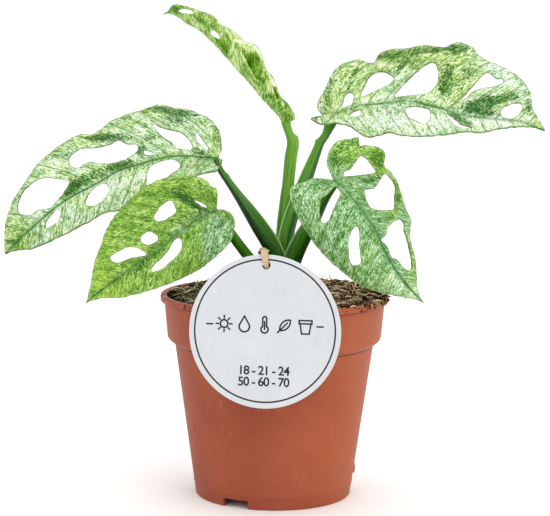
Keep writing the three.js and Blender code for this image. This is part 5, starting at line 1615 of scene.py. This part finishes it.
# The tie
# A flat, beige elastic band. It goes through the tag's hole, over its top edge and once round the bunch
# of stalks.
TIE_WIDTH = 3.6
TIE_THICKNESS = 0.9
TIE_STEPS = 12
TIE_CORNER_STEPS = 4
TIE_SIDE_FLATNESS = 0.35
TIE_FACE_FLATNESS = 0.6


def on_tag(right, up, out):
    """A place counted from the tag's centre, in millimetres."""
    return tag_centre / MM + tag_right * right + tag_up * up + tag_facing * out


hole_up = TAG_RADIUS - TAG_HOLE_DROP
clear = TAG_THICKNESS / 2 + TAG_GAP + TIE_THICKNESS / 2
upright = (0, 0, 1)
# Each station is a place, the direction of the band's width there and that width.
tie_stations = [
    (on_tag(0, hole_up - 0.4, 0), tag_right, 2),
    (on_tag(-0.2, hole_up + 1.2, clear), tag_right, 2.8),
    (on_tag(-0.9, TAG_RADIUS - 0.4, clear + 0.2), tag_right, TIE_WIDTH),
    (on_tag(-1.1, TAG_RADIUS + clear + 0.4, 0), tag_right, TIE_WIDTH),
    (on_tag(-1.3, TAG_RADIUS + clear + 0.6, -3), tag_right, TIE_WIDTH),
    ((-5, -34, 133.4), tag_right, TIE_WIDTH),
    ((-7.5, -15, 131.4), (0.7, 0, 0.7), TIE_WIDTH),
    ((-7.8, -6, 129.2), upright, TIE_WIDTH),
    ((-5.2, 3.5, 127), upright, TIE_WIDTH),
    ((0.2, 11.4, 124.6), upright, TIE_WIDTH),
    ((7, 14, 122.2), upright, TIE_WIDTH),
    ((12, 8, 119.6), upright, TIE_WIDTH),
    ((13.6, -2, 117.8), upright, TIE_WIDTH),
    ((13.6, -10, 117.2), upright, TIE_WIDTH),
    ((10.2, -20, 118.2), (-0.7, 0, 0.7), TIE_WIDTH),
    ((2, -42, 122.6), (-1, 0, 0.2), TIE_WIDTH),
    (on_tag(0.2, hole_up - 2, -clear - 1.6), -tag_right, 2.6),
]
middle_line = Curve([place for place, _, _ in tie_stations], closed=True)
count = len(tie_stations)
rings = []
for i in range(count * TIE_STEPS):
    t = i / (count * TIE_STEPS)
    before, weight = int(t * count), t * count % 1
    _, way, wide = tie_stations[before]
    _, next_way, next_wide = tie_stations[(before + 1) % count]
    ease = smoothstep(weight, 0, 1)
    way = Vector(way).lerp(Vector(next_way), ease)
    half = (wide + (next_wide - wide) * ease) / 2
    ahead = (middle_line.at((t + 0.001) % 1) - middle_line.at((t - 0.001) % 1)).normalized()
    across = (way - ahead * way.dot(ahead)).normalized()
    out = ahead.cross(across).normalized()
    ring = []
    for k in range(4 * TIE_CORNER_STEPS):
        angle = math.tau * (k + 0.5) / (4 * TIE_CORNER_STEPS)
        side = math.copysign(abs(math.cos(angle)) ** TIE_SIDE_FLATNESS, math.cos(angle))
        face = math.copysign(abs(math.sin(angle)) ** TIE_FACE_FLATNESS, math.sin(angle))
        ring.append((middle_line.at(t) + across * half * side + out * TIE_THICKNESS / 2 * face) * MM)
    rings.append(ring)
bm = bmesh.new()
grain = bm.loops.layers.uv.new("grain")
grained(swept(bm, rings + rings[:1], closed=True), grain)
bmesh.ops.remove_doubles(bm, verts=bm.verts, dist=0.01 * MM)
bmesh.ops.recalc_face_normals(bm, faces=bm.faces)
elastic, tree, surface = new_material("elastic_band", 0.85, 0.15)
weave, _, _ = map_parts(tree, "grain")
rows = add_node(tree, "ShaderNodeTexWave", {
    "Vector": stretched(tree, weave, (2, 130, 1)), "Scale": 1, "Distortion": 1.5, "Detail": 2,
}, wave_type="BANDS", bands_direction="Y").outputs["Fac"]
coat(tree, surface, ramp(tree, rows, [(0.2, "b89a72"), (0.8, "dcc8a6")]), rows, 0.00015, 0.6)
tie = add_piece("tag_tie", mesh_of(bm, "tag_tie", 60), elastic)
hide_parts("tag_tie")
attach(tie, "root")
